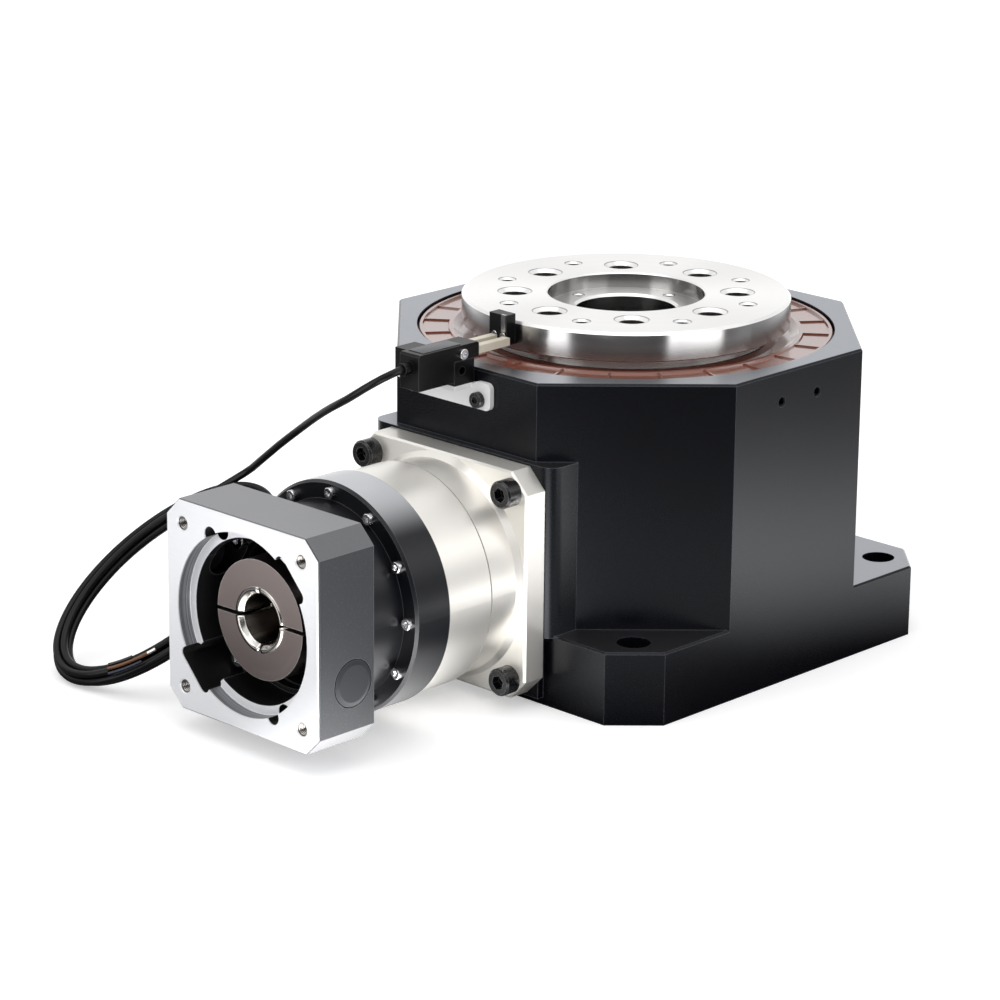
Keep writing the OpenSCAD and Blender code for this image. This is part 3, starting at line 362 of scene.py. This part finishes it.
def coated(name, colour, rough, grain_scale=900.0, depth=0.00008, wear_and_highlight=0.3,
           bright=(0.5, 0.52, 0.55), coat=0.0, metal=0.0, tops=0.0, gloss=0.5, beyond=0.0):
    """Painted, moulded or blackened surface with a fine grain, and lighter edges that are partly
    wear and partly a painted highlight.

    Its tops carry a painted highlight by the share tops, where they lie beyond a radius round the
    motor's axis.
    """
    made, paint = material(name)
    grain = paint.noise(grain_scale, 4)
    cloud = paint.noise(18, 3)
    edge = paint.edges(0.0005)
    base = paint.mix(cloud, shaded(colour, 0.8), shaded(colour, 1.15))
    if tops:
        x, _, z = paint.split(paint.place())
        off = z - AXIS_Z
        outer = x * x + off * off > beyond * beyond
        # Painted highlight on upward faces.
        top = paint.smooth(paint.facing(2), 0.66, 0.98) * outer
        base = paint.mix(top * tops, base, bright)
    # Lighter edges: partly wear, partly a painted highlight.
    base = paint.mix(edge * wear_and_highlight, base, bright)
    paint.surface(base, rough + (cloud - 0.5) * 0.08 + (grain - 0.5) * 0.08, metal,
                  paint.bump(grain, depth, 0.6), Coat_Weight=coat, Coat_Roughness=0.2,
                  Specular_IOR_Level=gloss)
    return made


def adapter_finish(colour):
    """Textured dark coat on the sides, and a machined bright front face and pilot ledge. The top is
    lighter by a painted highlight, and the hollow and the pilot's wall are darkened by painted
    shade.
    """
    made, paint = material("adapter_finish")
    skin = 0.0005
    ledge_in, ledge_out, ledge_deep = 0.0316, 0.03515, 0.0062
    wall_in, wall_deep = 0.0347, 0.0058
    room_half, room_corner, room_deep = 0.0402, 0.0738, 0.0265
    x, y, z = paint.split(paint.place())
    grain = paint.noise(1500, 4)
    cloud = paint.noise(20, 3)
    strokes = paint.noise(60, 3, (1.0, 1.0, 42.0))
    front = y < ADAPTER_FRONT + 0.00045
    off = z - AXIS_Z
    radius = (x * x + off * off) ** 0.5
    ledge = (y < ADAPTER_FRONT + ledge_deep) * (radius < ledge_out) * (radius > ledge_in)
    reach = x.math("ABSOLUTE").math("MAXIMUM", off.math("ABSOLUTE"))
    corner = x.math("ABSOLUTE") + off.math("ABSOLUTE")
    inside = (reach < room_half) * (corner < room_corner) * (y > ADAPTER_FRONT + skin)
    inside = inside * (y < ADAPTER_FRONT + room_deep)
    bare = front.math("MAXIMUM", ledge)
    edge = paint.edges(0.0005)
    dark = paint.mix(cloud, shaded(colour, 0.8), shaded(colour, 1.2))
    dark = paint.mix(paint.smooth(grain, 0.55, 0.75) * 0.22, dark, (0.16, 0.165, 0.18))
    # Upward faces are lighter: painted highlight.
    dark = paint.mix(paint.smooth(paint.facing(2), 0.5, 0.9) * 0.9, dark, (0.285, 0.288, 0.300))
    # The hollow inside is near black: painted shade.
    dark = paint.mix(inside, dark, (0.003, 0.003, 0.0035))
    # Lighter edges: partly wear, partly a painted highlight.
    dark = paint.mix(edge * 0.35, dark, (0.5, 0.52, 0.55))
    steel = paint.mix(strokes, (0.89, 0.90, 0.925), (0.95, 0.96, 0.98))
    # The pilot's inner wall: turning rings, and much darker than the front by painted shade.
    wall = (radius > wall_in) * (y > ADAPTER_FRONT + skin) * (y < ADAPTER_FRONT + wall_deep)
    rings = paint.noise(60, 3, (0.04, 42.0, 0.04))
    shaded_turning = paint.mix(paint.smooth(rings, 0.35, 0.65), (0.10, 0.103, 0.11), (0.30, 0.31, 0.33))
    steel = paint.mix(wall, steel, shaded_turning)
    base = paint.mix(bare, dark, steel)
    rough = bare * (0.34 + (strokes - 0.5) * 0.12) + (1 - bare) * (0.46 + (cloud - 0.5) * 0.1)
    height = bare * strokes * 0.15 + (1 - bare) * grain
    paint.surface(base, rough, bare * 0.15 + 0.03, paint.bump(height, 0.00005, 0.5),
                  Specular_IOR_Level=0.35)
    return made


def seal_rubber(colour):
    """Glossy brown rubber of the seal round the table."""
    made, paint = material("seal_brown")
    cloud = paint.noise(35, 4)
    grain = paint.noise(1300, 3)
    base = paint.mix(cloud, shaded(colour, 0.75), shaded(colour, 1.35))
    paint.surface(base, 0.24 + (cloud - 0.5) * 0.12, 0.0, paint.bump(grain, 0.00003, 0.4),
                  Coat_Weight=1.0, Coat_Roughness=0.11, Specular_IOR_Level=0.5)
    return made


def sheath(colour):
    """Black sheath of the cable."""
    made, paint = material("cable_sheath")
    cloud = paint.noise(90, 3)
    grain = paint.noise(2500, 2)
    base = paint.mix(cloud, shaded(colour, 0.7), shaded(colour, 1.5))
    paint.surface(base, 0.40 + (cloud - 0.5) * 0.14, 0.0, paint.bump(grain, 0.00002, 0.5),
                  Coat_Weight=0.12, Coat_Roughness=0.12, Specular_IOR_Level=0.15)
    return made


# ---------------------------------------------------------------- meshes

def put(name, shape, body, finish, replaces=()):
    """Makes a piece from a bmesh, and lets it ride on a body."""
    mesh = bpy.data.meshes.new(name)
    shape.to_mesh(mesh)
    shape.free()
    made = bpy.data.objects.new(name, mesh)
    bpy.context.scene.collection.objects.link(made)
    mesh.materials.append(finish)
    for face in mesh.polygons:
        face.use_smooth = True
    mesh.set_sharp_from_angle(angle=SHARP)
    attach(made, body)
    if replaces:
        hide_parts(*replaces)
    return made


def dress(finish, *nodes):
    """Gives CAD nodes their finish."""
    for name in nodes:
        slots = FRAME["nodes"][name].data.materials
        slots.clear()
        slots.append(finish)


# ---------------------------------------------------------------- cable

# Millimetres, and degrees round the hank
CABLE = 3.0
BUNDLE = 4.1
STRAND_GAP = 0.02
CORE_OUT = BUNDLE + 0.75
HANK = Vector((-87.3, -166.2, 35.4))
HANK_LONG = Vector((19.7, 34.6, 30.2))
HANK_SHORT = Vector((-30.3, 10.8, 7.5))
EXIT = Vector((0, -124, 130.5))
LEAD = [(0, -126, 130.3), (-3, -131, 127.9), (-9, -134.5, 123.5), (-17, -136, 118),
        (-28, -134, 112), (-40, -131, 105), (-53, -128.2, 96.5), (-64, -128, 88.3),
        (-77, -127.4, 78.1), (-84.4, -127, 72.7)]
LEAD_END = 50
TAIL_TO = 223
CORE_TO = 246
TIP_LONG = 5
ROUTE_STEP = 7
TAIL_SIDE = Vector((0.48, -0.5, 0.72))
CORE_SPREAD = Vector((0.14, -0.14, -0.32))


def hank_point(angle):
    """Point of the hank's oval."""
    a = math.radians(angle)
    return HANK + math.cos(a) * HANK_LONG + math.sin(a) * HANK_SHORT


def hank_along(angle):
    """Direction of the hank's oval at an angle."""
    a = math.radians(angle)
    return (math.cos(a) * HANK_SHORT - math.sin(a) * HANK_LONG).normalized()


def beside(angle, side, distance):
    """Point that lies off the hank's oval by a distance towards one side."""
    along = hank_along(angle)
    return hank_point(angle) + distance * (side - side.dot(along) * along).normalized()


def curve_through(points, steps):
    """Smooth curve through points, by Catmull-Rom pieces."""
    made = []
    for i in range(len(points) - 1):
        a, b = points[max(i - 1, 0)], points[i]
        c, d = points[i + 1], points[min(i + 2, len(points) - 1)]
        for k in range(steps):
            t = k / steps
            made.append(b + t / 2 * (c - a) + t * t / 2 * (2 * a - 5 * b + 4 * c - d)
                        + t * t * t / 2 * (3 * b - a - 3 * c + d))
    return made + [points[-1]]


def cable_route(turns):
    """The whole cable: the lead, then the strands of the hank, which change places each turn."""
    axis = HANK_LONG.cross(HANK_SHORT).normalized()
    strand = 360 / (turns + 1)
    ring = (BUNDLE - CABLE / 2) - STRAND_GAP
    sweep = 360 * turns + TAIL_TO - LEAD_END
    along = hank_along(TAIL_TO)
    out = along.cross(axis)
    side = (TAIL_SIDE - TAIL_SIDE.dot(along) * along).normalized()
    last = math.degrees(math.atan2(side.dot(axis), side.dot(out)))
    wound = []
    count = int(sweep / ROUTE_STEP)
    for k in range(count + 1):
        angle = LEAD_END + sweep * k / count
        turn = math.radians(last - strand * (sweep - (angle - LEAD_END)) / 360)
        out = hank_along(angle).cross(axis)
        wound.append(hank_point(angle) + ring * (math.cos(turn) * out + math.sin(turn) * axis))
    start = [EXIT, EXIT + Vector((0, -0.8, 0))] + [Vector(p) for p in LEAD]
    return [p * MM for p in curve_through(start + wound, 2)]


def tube(name, points, radius, sides, body, finish):
    """Swept tube with closed ends."""
    line = bpy.data.curves.new(name, "CURVE")
    line.dimensions = "3D"
    line.bevel_depth = radius
    line.bevel_resolution = sides
    line.use_fill_caps = True
    spline = line.splines.new("POLY")
    spline.points.add(len(points) - 1)
    for point, place in zip(spline.points, points):
        point.co = (*place, 1.0)
    spline.use_smooth = True
    made = bpy.data.objects.new(name, line)
    bpy.context.scene.collection.objects.link(made)
    line.materials.append(finish)
    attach(made, body)
    return made


# ---------------------------------------------------------------- settings

class PlatformColours(bpy.types.PropertyGroup):
    """Colours of the finishes."""
    housing: bpy.props.FloatVectorProperty(name="Housing", description="Anodised housing",
                                           subtype="COLOR", size=3,
                                           default=(0.0036, 0.0038, 0.0056))
    # Colour of the housing's tops, lighter than the sides as a painted highlight.
    milled_and_lit: bpy.props.FloatVectorProperty(name="Milled and lit tops", description="Tops of the housing",
                                          subtype="COLOR", size=3, default=(0.37, 0.366, 0.378))
    nickel: bpy.props.FloatVectorProperty(name="Gearbox", description="Satin nickel plate",
                                          subtype="COLOR", size=3, default=(0.93, 0.905, 0.855))
    steel: bpy.props.FloatVectorProperty(name="Table", description="Turned steel of the table",
                                         subtype="COLOR", size=3, default=(0.90, 0.89, 0.88))
    seal: bpy.props.FloatVectorProperty(name="Seal", description="Brown seal round the table",
                                        subtype="COLOR", size=3, default=(0.215, 0.075, 0.050))
    adapter: bpy.props.FloatVectorProperty(name="Adapter", description="Coat of the motor adapter",
                                           subtype="COLOR", size=3, default=(0.036, 0.038, 0.043))


class PlatformSizes(bpy.types.PropertyGroup):
    """Sizes of what the looks add."""
    hank_turns: bpy.props.IntProperty(name="Hank turns", description="Whole turns in the hank",
                                      default=4, min=2, max=6)
    thread_pitch: bpy.props.FloatProperty(name="Thread pitch", subtype="DISTANCE", unit="LENGTH",
                                          description="Pitch of the large threads",
                                          default=0.00175)
    clamp_turn: bpy.props.FloatProperty(name="Clamp turn", subtype="ANGLE", unit="ROTATION",
                                        description="Turn of the shaft clamp round its axis",
                                        default=math.radians(-14))
    floor_size: bpy.props.FloatProperty(name="Floor", subtype="DISTANCE", unit="LENGTH",
                                        description="Side of the studio floor", default=14.0)


# ---------------------------------------------------------------- operators

class PLATFORM_OT_cable(bpy.types.Operator):
    """Makes the sensor's cable with its hank and its stripped cores"""
    bl_idname = "platform.cable"
    bl_label = "Cable"

    def execute(self, context):
        turns = context.scene.platform_sizes.hank_turns
        black = sheath((0.0045, 0.0045, 0.005))
        points = cable_route(turns)
        cable = tube("sensor_cable", points, CABLE / 2 * MM, 5, "base", black)
        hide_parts("cable_lead", "cable_coil", "cable_tail")
        shades = [(0.16, 0.062, 0.022), (0.006, 0.010, 0.028), (0.006, 0.006, 0.006)]
        for k, shade in enumerate(shades):
            finish = coated(f"core_{k + 1}", shade, 0.38, 800, 0.00002, 0.0)
            side = TAIL_SIDE + (0, 1, -1)[k] * CORE_SPREAD
            reach = CORE_TO - 4 * k
            route = [beside(a, side, CORE_OUT) * MM for a in range(TAIL_TO + 1, reach + 1, 2)]
            tube(f"core_{k + 1}_wire", route, 0.65 * MM, 4, "base",
                              finish)
        tin, paint = material("tinned_tip")
        shine = paint.mix(paint.noise(900, 2), (0.80, 0.76, 0.66), (0.95, 0.93, 0.88))
        paint.surface(shine, 0.28, 1.0)
        tip = [beside(a, TAIL_SIDE, CORE_OUT) * MM for a in range(CORE_TO, CORE_TO + TIP_LONG)]
        tube("core_tip", tip, 0.72 * MM, 4, "base", tin)
        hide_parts("cable_cores")
        length = sum((b - a).length for a, b in zip(points, points[1:]))
        return {"FINISHED"}


class PLATFORM_OT_finishes(bpy.types.Operator):
    """Gives every CAD node its finish"""
    bl_idname = "platform.finishes"
    bl_label = "Finishes"

    def execute(self, context):
        colours = context.scene.platform_colours
        dress(black_anodised(tuple(colours.housing), tuple(colours.milled_and_lit)), "housing")
        dress(turned("cover_turned", (0.34, 0.35, 0.37), 0.34), "bottom_cover", "bearing_retainer")
        dress(turned("turned_steel", tuple(colours.steel), 0.29, 2600, 0.0000005, holes=(
            ("table_large_holes", 0.0, 0.0016), ("table_small_holes", math.pi / 8, 0.001),
            ("recess_holes", 0.0, 0.0007))), "rotary_table")
        dress(turned("bearing_steel", (0.74, 0.75, 0.77), 0.14, 6000), "lower_bearing",
              "bearing_outer_ring", "bearing_inner_ring", "bearing_rollers")
        dress(turned("bearing_steel_across", (0.74, 0.75, 0.77), 0.14, 6000, along="y"),
              "output_bearings", "input_bearing")
        dress(turned("gear_steel", (0.46, 0.45, 0.43), 0.30, 5000), "table_gear", "bearing_spacer")
        dress(turned("gear_steel_across", (0.46, 0.45, 0.43), 0.30, 5000, along="y"),
              "output_pinion", "planet_gear_1", "planet_gear_2", "planet_gear_3", "ring_gear",
              "planet_carrier", "sun_shaft")
        dress(satin_nickel(tuple(colours.nickel)), "gearbox_body")
        dress(bushing_finish((0.74, 0.72, 0.68)), "clamp_hub")
        dress(seal_rubber(tuple(colours.seal)), "table_seal")
        dress(coated("seal_black", (0.02, 0.02, 0.021), 0.5, 700), "bottom_seal")
        # The bell ring's upward faces carry a painted highlight.
        dress(coated("bell_black", (0.0045, 0.005, 0.0075), 0.33, 1200, 0.00003, 0.2,
                     (0.62, 0.63, 0.655), coat=0.05, tops=0.92, gloss=0.3, beyond=0.0405),
              "input_bell")
        dress(adapter_finish(tuple(colours.adapter)), "motor_adapter")
        dress(turned("collar_brown", (0.200, 0.168, 0.160), 0.42, 6000, along="y", wear_and_highlight=0.4),
              "clamp_collar")
        dress(coated("screw_black", (0.005, 0.005, 0.006), 0.27, 1500, 0.00002, 0.3, coat=0.15,
                     gloss=0.4),
              "cover_screws", "retainer_screws", "flange_screws", "table_gear_screws",
              "clamp_screws", "bracket_screws")
        dress(turned("screw_bright", (0.68, 0.68, 0.70), 0.22, 4000, wear_and_highlight=0.5), "bell_screws",
              "adapter_screws", "sensor_screws", "dog_screws")
        dress(coated("plug_black", (0.036, 0.038, 0.043), 0.46, 800, wear_and_highlight=0.15, gloss=0.2),
              "access_plugs")
        dress(coated("bracket_zinc", (0.97, 0.97, 0.98), 0.36, 400, 0.00003, 0.3,
                     (0.97, 0.97, 0.97), metal=0.1), "sensor_bracket")
        dress(coated("sensor_black", (0.0028, 0.0028, 0.0034), 0.34, 1000, 0.00003, 0.12,
                     gloss=0.2), "sensor_bar", "sensor_body", "sensor_dog", "cable_gland")
        dress(coated("prong_ivory", (0.72, 0.67, 0.55), 0.42, 700, 0.00002, 0.2,
                     (0.9, 0.88, 0.8)), "sensor_prongs")
        return {"FINISHED"}


def thread(shape, centre, outward, radius, pitch, turns, depth):
    """Adds one internal thread: a ridge that winds in from the mouth."""
    steps = 24
    root = radius + 0.0001
    corners = [shape.verts.new(Vector(p)) for p in (
        (root, 0, 0.0), (radius - depth, 0, -pitch * 0.5), (root, 0, -pitch))]
    edges = [shape.edges.new(pair) for pair in
             ((corners[0], corners[1]), (corners[1], corners[2]))]
    before = set(shape.verts)
    bmesh.ops.spin(shape, geom=corners + edges, cent=(0, 0, 0), axis=(0, 0, 1),
                   dvec=(0, 0, -pitch / steps), angle=math.tau * turns, steps=steps * turns)
    moved = corners + [v for v in shape.verts if v not in before]
    place = Matrix.Translation(centre) @ outward.to_track_quat("Z", "Y").to_matrix().to_4x4()
    bmesh.ops.transform(shape, verts=moved, matrix=place)


class PLATFORM_OT_threads(bpy.types.Operator):
    """Adds thread ridges in the mouths of the table's and the adapter's screw holes"""
    bl_idname = "platform.threads"
    bl_label = "Threads"

    def execute(self, context):
        # The threads are dark by painted shade inside the holes, and their crests are lighter by
        # wear and a painted highlight.
        steel = coated("thread_steel", (0.085, 0.075, 0.068), 0.30, 2500, 0.00001, 0.8,
                       (0.75, 0.72, 0.68), metal=0.9)
        pitch = context.scene.platform_sizes.thread_pitch
        for mount, step, turns, start, depth, lift in (
                ("table_large_holes", pitch, 9, 0.0, 0.00062, 0.0004),
                ("table_small_holes", 0.001, 12, 22.5, 0.00038, 0.0005),
                ("recess_holes", 0.0007, 10, 0.0, 0.00028, 0.0003)):
            dims = MOUNTS[mount]["dims"]
            ring = dims["pcd_mm"] / 2 * MM
            height = MOUNTS[mount]["pos_m"][2] + lift
            shape = bmesh.new()
            for k in range(dims["count"]):
                angle = math.radians(start + 360 * k / dims["count"])
                centre = Vector((ring * math.cos(angle), ring * math.sin(angle), height))
                thread(shape, centre, Vector((0, 0, 1)), dims["hole_r_mm"] * MM, step, turns,
                       depth)
            bmesh.ops.recalc_face_normals(shape, faces=shape.faces)
            put(mount.replace("holes", "threads"), shape, "table", steel)
        mount = MOUNTS["motor_screw_holes"]
        dims = mount["dims"]
        middle = Vector(mount["pos_m"])
        shape = bmesh.new()
        for side in (-1, 1):
            for rise in (-1, 1):
                centre = middle + Vector((side * dims["spacing_x_mm"] / 2 * MM, 0.0002,
                                          rise * dims["spacing_y_mm"] / 2 * MM))
                thread(shape, centre, Vector((0, -1, 0)), dims["hole_r_mm"] * MM, 0.0008, 14,
                       0.0004)
        bmesh.ops.recalc_face_normals(shape, faces=shape.faces)
        put("motor_threads", shape, "base", steel)
        return {"FINISHED"}


class PLATFORM_OT_clamp(bpy.types.Operator):
    """Turns the motor shaft's clamp until its split lies level"""
    bl_idname = "platform.clamp"
    bl_label = "Clamp"

    def execute(self, context):
        turn = Matrix.Rotation(context.scene.platform_sizes.clamp_turn, 3, "Y")
        for name, node, slot in (("shaft_bushing", "clamp_hub", "nickel"),
                                 ("split_collar", "clamp_collar", "collar_brown"),
                                 ("collar_screws", "clamp_screws", "screw_black")):
            mesh = FRAME["nodes"][node].data
            shape = bmesh.new()
            shape.from_mesh(mesh)
            bmesh.ops.remove_doubles(shape, verts=shape.verts, dist=WELD)
            bmesh.ops.rotate(shape, cent=(0, 0, AXIS_Z), matrix=turn, verts=shape.verts)
            put(name, shape, "input", mesh.materials[0], [node])
        return {"FINISHED"}


LAND_GAP = 0.00002
LAND_IN = 0.03162
LAND_OUT = 0.0382
LAND_FLOOR = 0.004
LAND_HALF = math.radians(7.7)
LANDS = (-45, 135)


class PLATFORM_OT_pilot_lands(bpy.types.Operator):
    """Closes the motor pilot's ring in front of two of the adapter's screws"""
    bl_idname = "platform.pilot_lands"
    bl_label = "Pilot lands"

    def execute(self, context):
        pilot = MOUNTS["motor_pilot"]["dims"]
        wall = pilot["r_mm"] * MM + LAND_GAP
        ledge = ADAPTER_FRONT + pilot["length_mm"] * MM + LAND_GAP
        front = ADAPTER_FRONT + LAND_GAP
        back = ledge + LAND_FLOOR
        shape = bmesh.new()
        for middle in LANDS:
            corners = [shape.verts.new((reach, along, AXIS_Z)) for reach, along in (
                (wall, front), (LAND_OUT, front), (LAND_OUT, back), (LAND_IN, back),
                (LAND_IN, ledge), (wall, ledge))]
            face = shape.faces.new(corners)
            bmesh.ops.rotate(shape, cent=(0, 0, AXIS_Z), verts=corners,
                             matrix=Matrix.Rotation(LAND_HALF - math.radians(middle), 3, "Y"))
            bmesh.ops.spin(shape, geom=[face] + list(face.edges) + corners, axis=(0, -1, 0),
                           cent=(0, 0, AXIS_Z), angle=2 * LAND_HALF, steps=12, use_merge=False)
        bmesh.ops.remove_doubles(shape, verts=shape.verts, dist=WELD)
        bmesh.ops.recalc_face_normals(shape, faces=shape.faces)
        finish = FRAME["nodes"]["motor_adapter"].data.materials[0]
        put("pilot_lands", shape, "base", finish)
        return {"FINISHED"}


class PLATFORM_OT_sensor_plate(bpy.types.Operator):
    """Makes the plain plate on the sensor's top"""
    bl_idname = "platform.sensor_plate"
    bl_label = "Sensor plate"

    def execute(self, context):
        low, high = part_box("sensor_body")
        margin, thick = 0.0022, 0.0003
        shape = bmesh.new()
        bmesh.ops.create_cube(shape, size=1.0)
        size = Vector((high.x - low.x - margin, (high.y - low.y) * 0.62, thick))
        bmesh.ops.scale(shape, verts=shape.verts, vec=size)
        middle = Vector((0, low.y + (high.y - low.y) * 0.42, high.z + thick / 2))
        bmesh.ops.translate(shape, verts=shape.verts, vec=middle)
        bmesh.ops.bevel(shape, geom=shape.edges[:], offset=0.00012, affect="EDGES", segments=2,
                        profile=0.5, material=-1)
        grey = coated("plate_grey", (0.085, 0.088, 0.095), 0.42, 900, 0.00002, 0.2)
        put("sensor_plate", shape, "base", grey)
        return {"FINISHED"}


class PLATFORM_OT_stage(bpy.types.Operator):
    """Makes the floor, the lamps, the world and the camera"""
    bl_idname = "platform.stage"
    bl_label = "Stage"

    def execute(self, context):
        scene = context.scene
        scene.view_settings.view_transform = "Standard"
        size = scene.platform_sizes.floor_size
        shape = bmesh.new()
        bmesh.ops.create_grid(shape, x_segments=1, y_segments=1, size=size / 2)
        mesh = bpy.data.meshes.new("floor")
        shape.to_mesh(mesh)
        shape.free()
        floor = bpy.data.objects.new("floor", mesh)
        scene.collection.objects.link(floor)
        mesh.materials.append(self.paper())
        self.world(scene)
        self.lamps(scene)
        self.camera(scene)
        return {"FINISHED"}

    def paper(self):
        """White floor, and what mirrors see of it."""
        made, paint = material("floor_paper")
        seen = paint.node("LightPath", {}, {}, "Is Camera Ray")
        shiny, through = paint.outputs(seen, "Is Glossy Ray", "Is Transmission Ray")
        x, y, _ = paint.split(paint.place())
        radius = (x * x + y * y) ** 0.5
        # Close to the object the nearby glow is held back: a painted shadow in reflections.
        glow = (paint.softboxes(x, y) * paint.smooth(radius, *FAR_FADE) * FAR_GAIN
                + paint.softboxes(x, y, NEARBY) * paint.smooth(radius, *NEAR_FADE)
                * paint.smooth(radius, *NEAR_START))
        mirrored = shiny.math("MAXIMUM", through) * (1 - seen)
        matte = paint.node("BsdfDiffuse", {}, {"Color": paint.mix(
            mirrored, (0.86, 0.86, 0.87), (0.05, 0.05, 0.055))})
        light = paint.node("Emission", {}, {"Color": (1, 1, 1, 1),
                                            "Strength": seen * FLOOR_GLOW + mirrored * glow})
        paint.close(paint.node("AddShader", {}, {0: matte, 1: light}))
        return made

    def lamps(self, scene):
        """Area lamps, which the camera doesn't see."""
        for name, place, power, wide, tall in LAMPS:
            light = bpy.data.lights.new(name, "AREA")
            light.energy = power
            light.shape = "RECTANGLE"
            light.size, light.size_y = wide, tall
            lamp = bpy.data.objects.new(name, light)
            scene.collection.objects.link(lamp)
            lamp.visible_camera = False
            lamp.location = place
            lamp.rotation_euler = (LAMP_AIM - Vector(place)).to_track_quat("-Z", "Y").to_euler()

    def world(self, scene):
        """White behind the object, and the bearing table low down in what metal reflects."""
        world = bpy.data.worlds.new("studio")
        scene.world = world
        world.use_nodes = True
        paint = Paint(world.node_tree)
        seen = paint.node("LightPath", {}, {}, "Is Camera Ray")
        shiny, = paint.outputs(seen, "Is Glossy Ray")
        x, y, z = paint.split(paint.node("TexCoord", {}, {}, "Generated"))
        room = paint.softboxes(x, y)
        high = paint.smooth(z, *ROOM_FADE)
        mirror = room * (1 - high) + high
        unseen = ROOM_PLAIN * (1 - shiny) + mirror * shiny
        strength = unseen * (1 - seen) + seen
        paint.close(paint.node("Background", {}, {"Color": (1, 1, 1, 1), "Strength": strength}),
                    "OutputWorld")

    def camera(self, scene):
        """The camera, aimed at the middle of the object."""
        lens = bpy.data.cameras.new("camera")
        camera = bpy.data.objects.new("camera", lens)
        scene.collection.objects.link(camera)
        turn = (CAMERA_AIM - CAMERA).to_track_quat("-Z", "Y").to_matrix().to_4x4()
        roll = Matrix.Rotation(CAMERA_ROLL, 4, "Z")
        camera.matrix_world = Matrix.Translation(CAMERA) @ turn @ roll
        lens.sensor_width = 36.0
        lens.lens = CAMERA_LENS
        lens.clip_start = 0.05
        scene.camera = camera


class PLATFORM_PT_panel(bpy.types.Panel):
    """Lists what the add-on makes"""
    bl_idname = "PLATFORM_PT_panel"
    bl_label = "Rotary platform"
    bl_space_type = "VIEW_3D"
    bl_region_type = "UI"
    bl_category = "Platform"

    def draw(self, context):
        for group in (context.scene.platform_colours, context.scene.platform_sizes):
            for name in group.__annotations__:
                self.layout.prop(group, name)
        for operator in OPERATORS:
            self.layout.operator(operator.bl_idname)


OPERATORS = (PLATFORM_OT_stage, PLATFORM_OT_cable, PLATFORM_OT_finishes, PLATFORM_OT_threads,
             PLATFORM_OT_clamp, PLATFORM_OT_pilot_lands, PLATFORM_OT_sensor_plate)
CLASSES = (PlatformColours, PlatformSizes) + OPERATORS + (PLATFORM_PT_panel,)


def register():
    for each in CLASSES:
        bpy.utils.register_class(each)
    bpy.types.Scene.platform_colours = bpy.props.PointerProperty(type=PlatformColours)
    bpy.types.Scene.platform_sizes = bpy.props.PointerProperty(type=PlatformSizes)


def unregister():
    del bpy.types.Scene.platform_sizes
    del bpy.types.Scene.platform_colours
    for each in reversed(CLASSES):
        bpy.utils.unregister_class(each)


def main():
    """Makes everything."""
    register()
    bpy.ops.platform.stage()
    bpy.ops.platform.cable()
    bpy.ops.platform.finishes()
    bpy.ops.platform.threads()
    bpy.ops.platform.clamp()
    bpy.ops.platform.pilot_lands()
    bpy.ops.platform.sensor_plate()


if __name__ == "__main__":
    main()
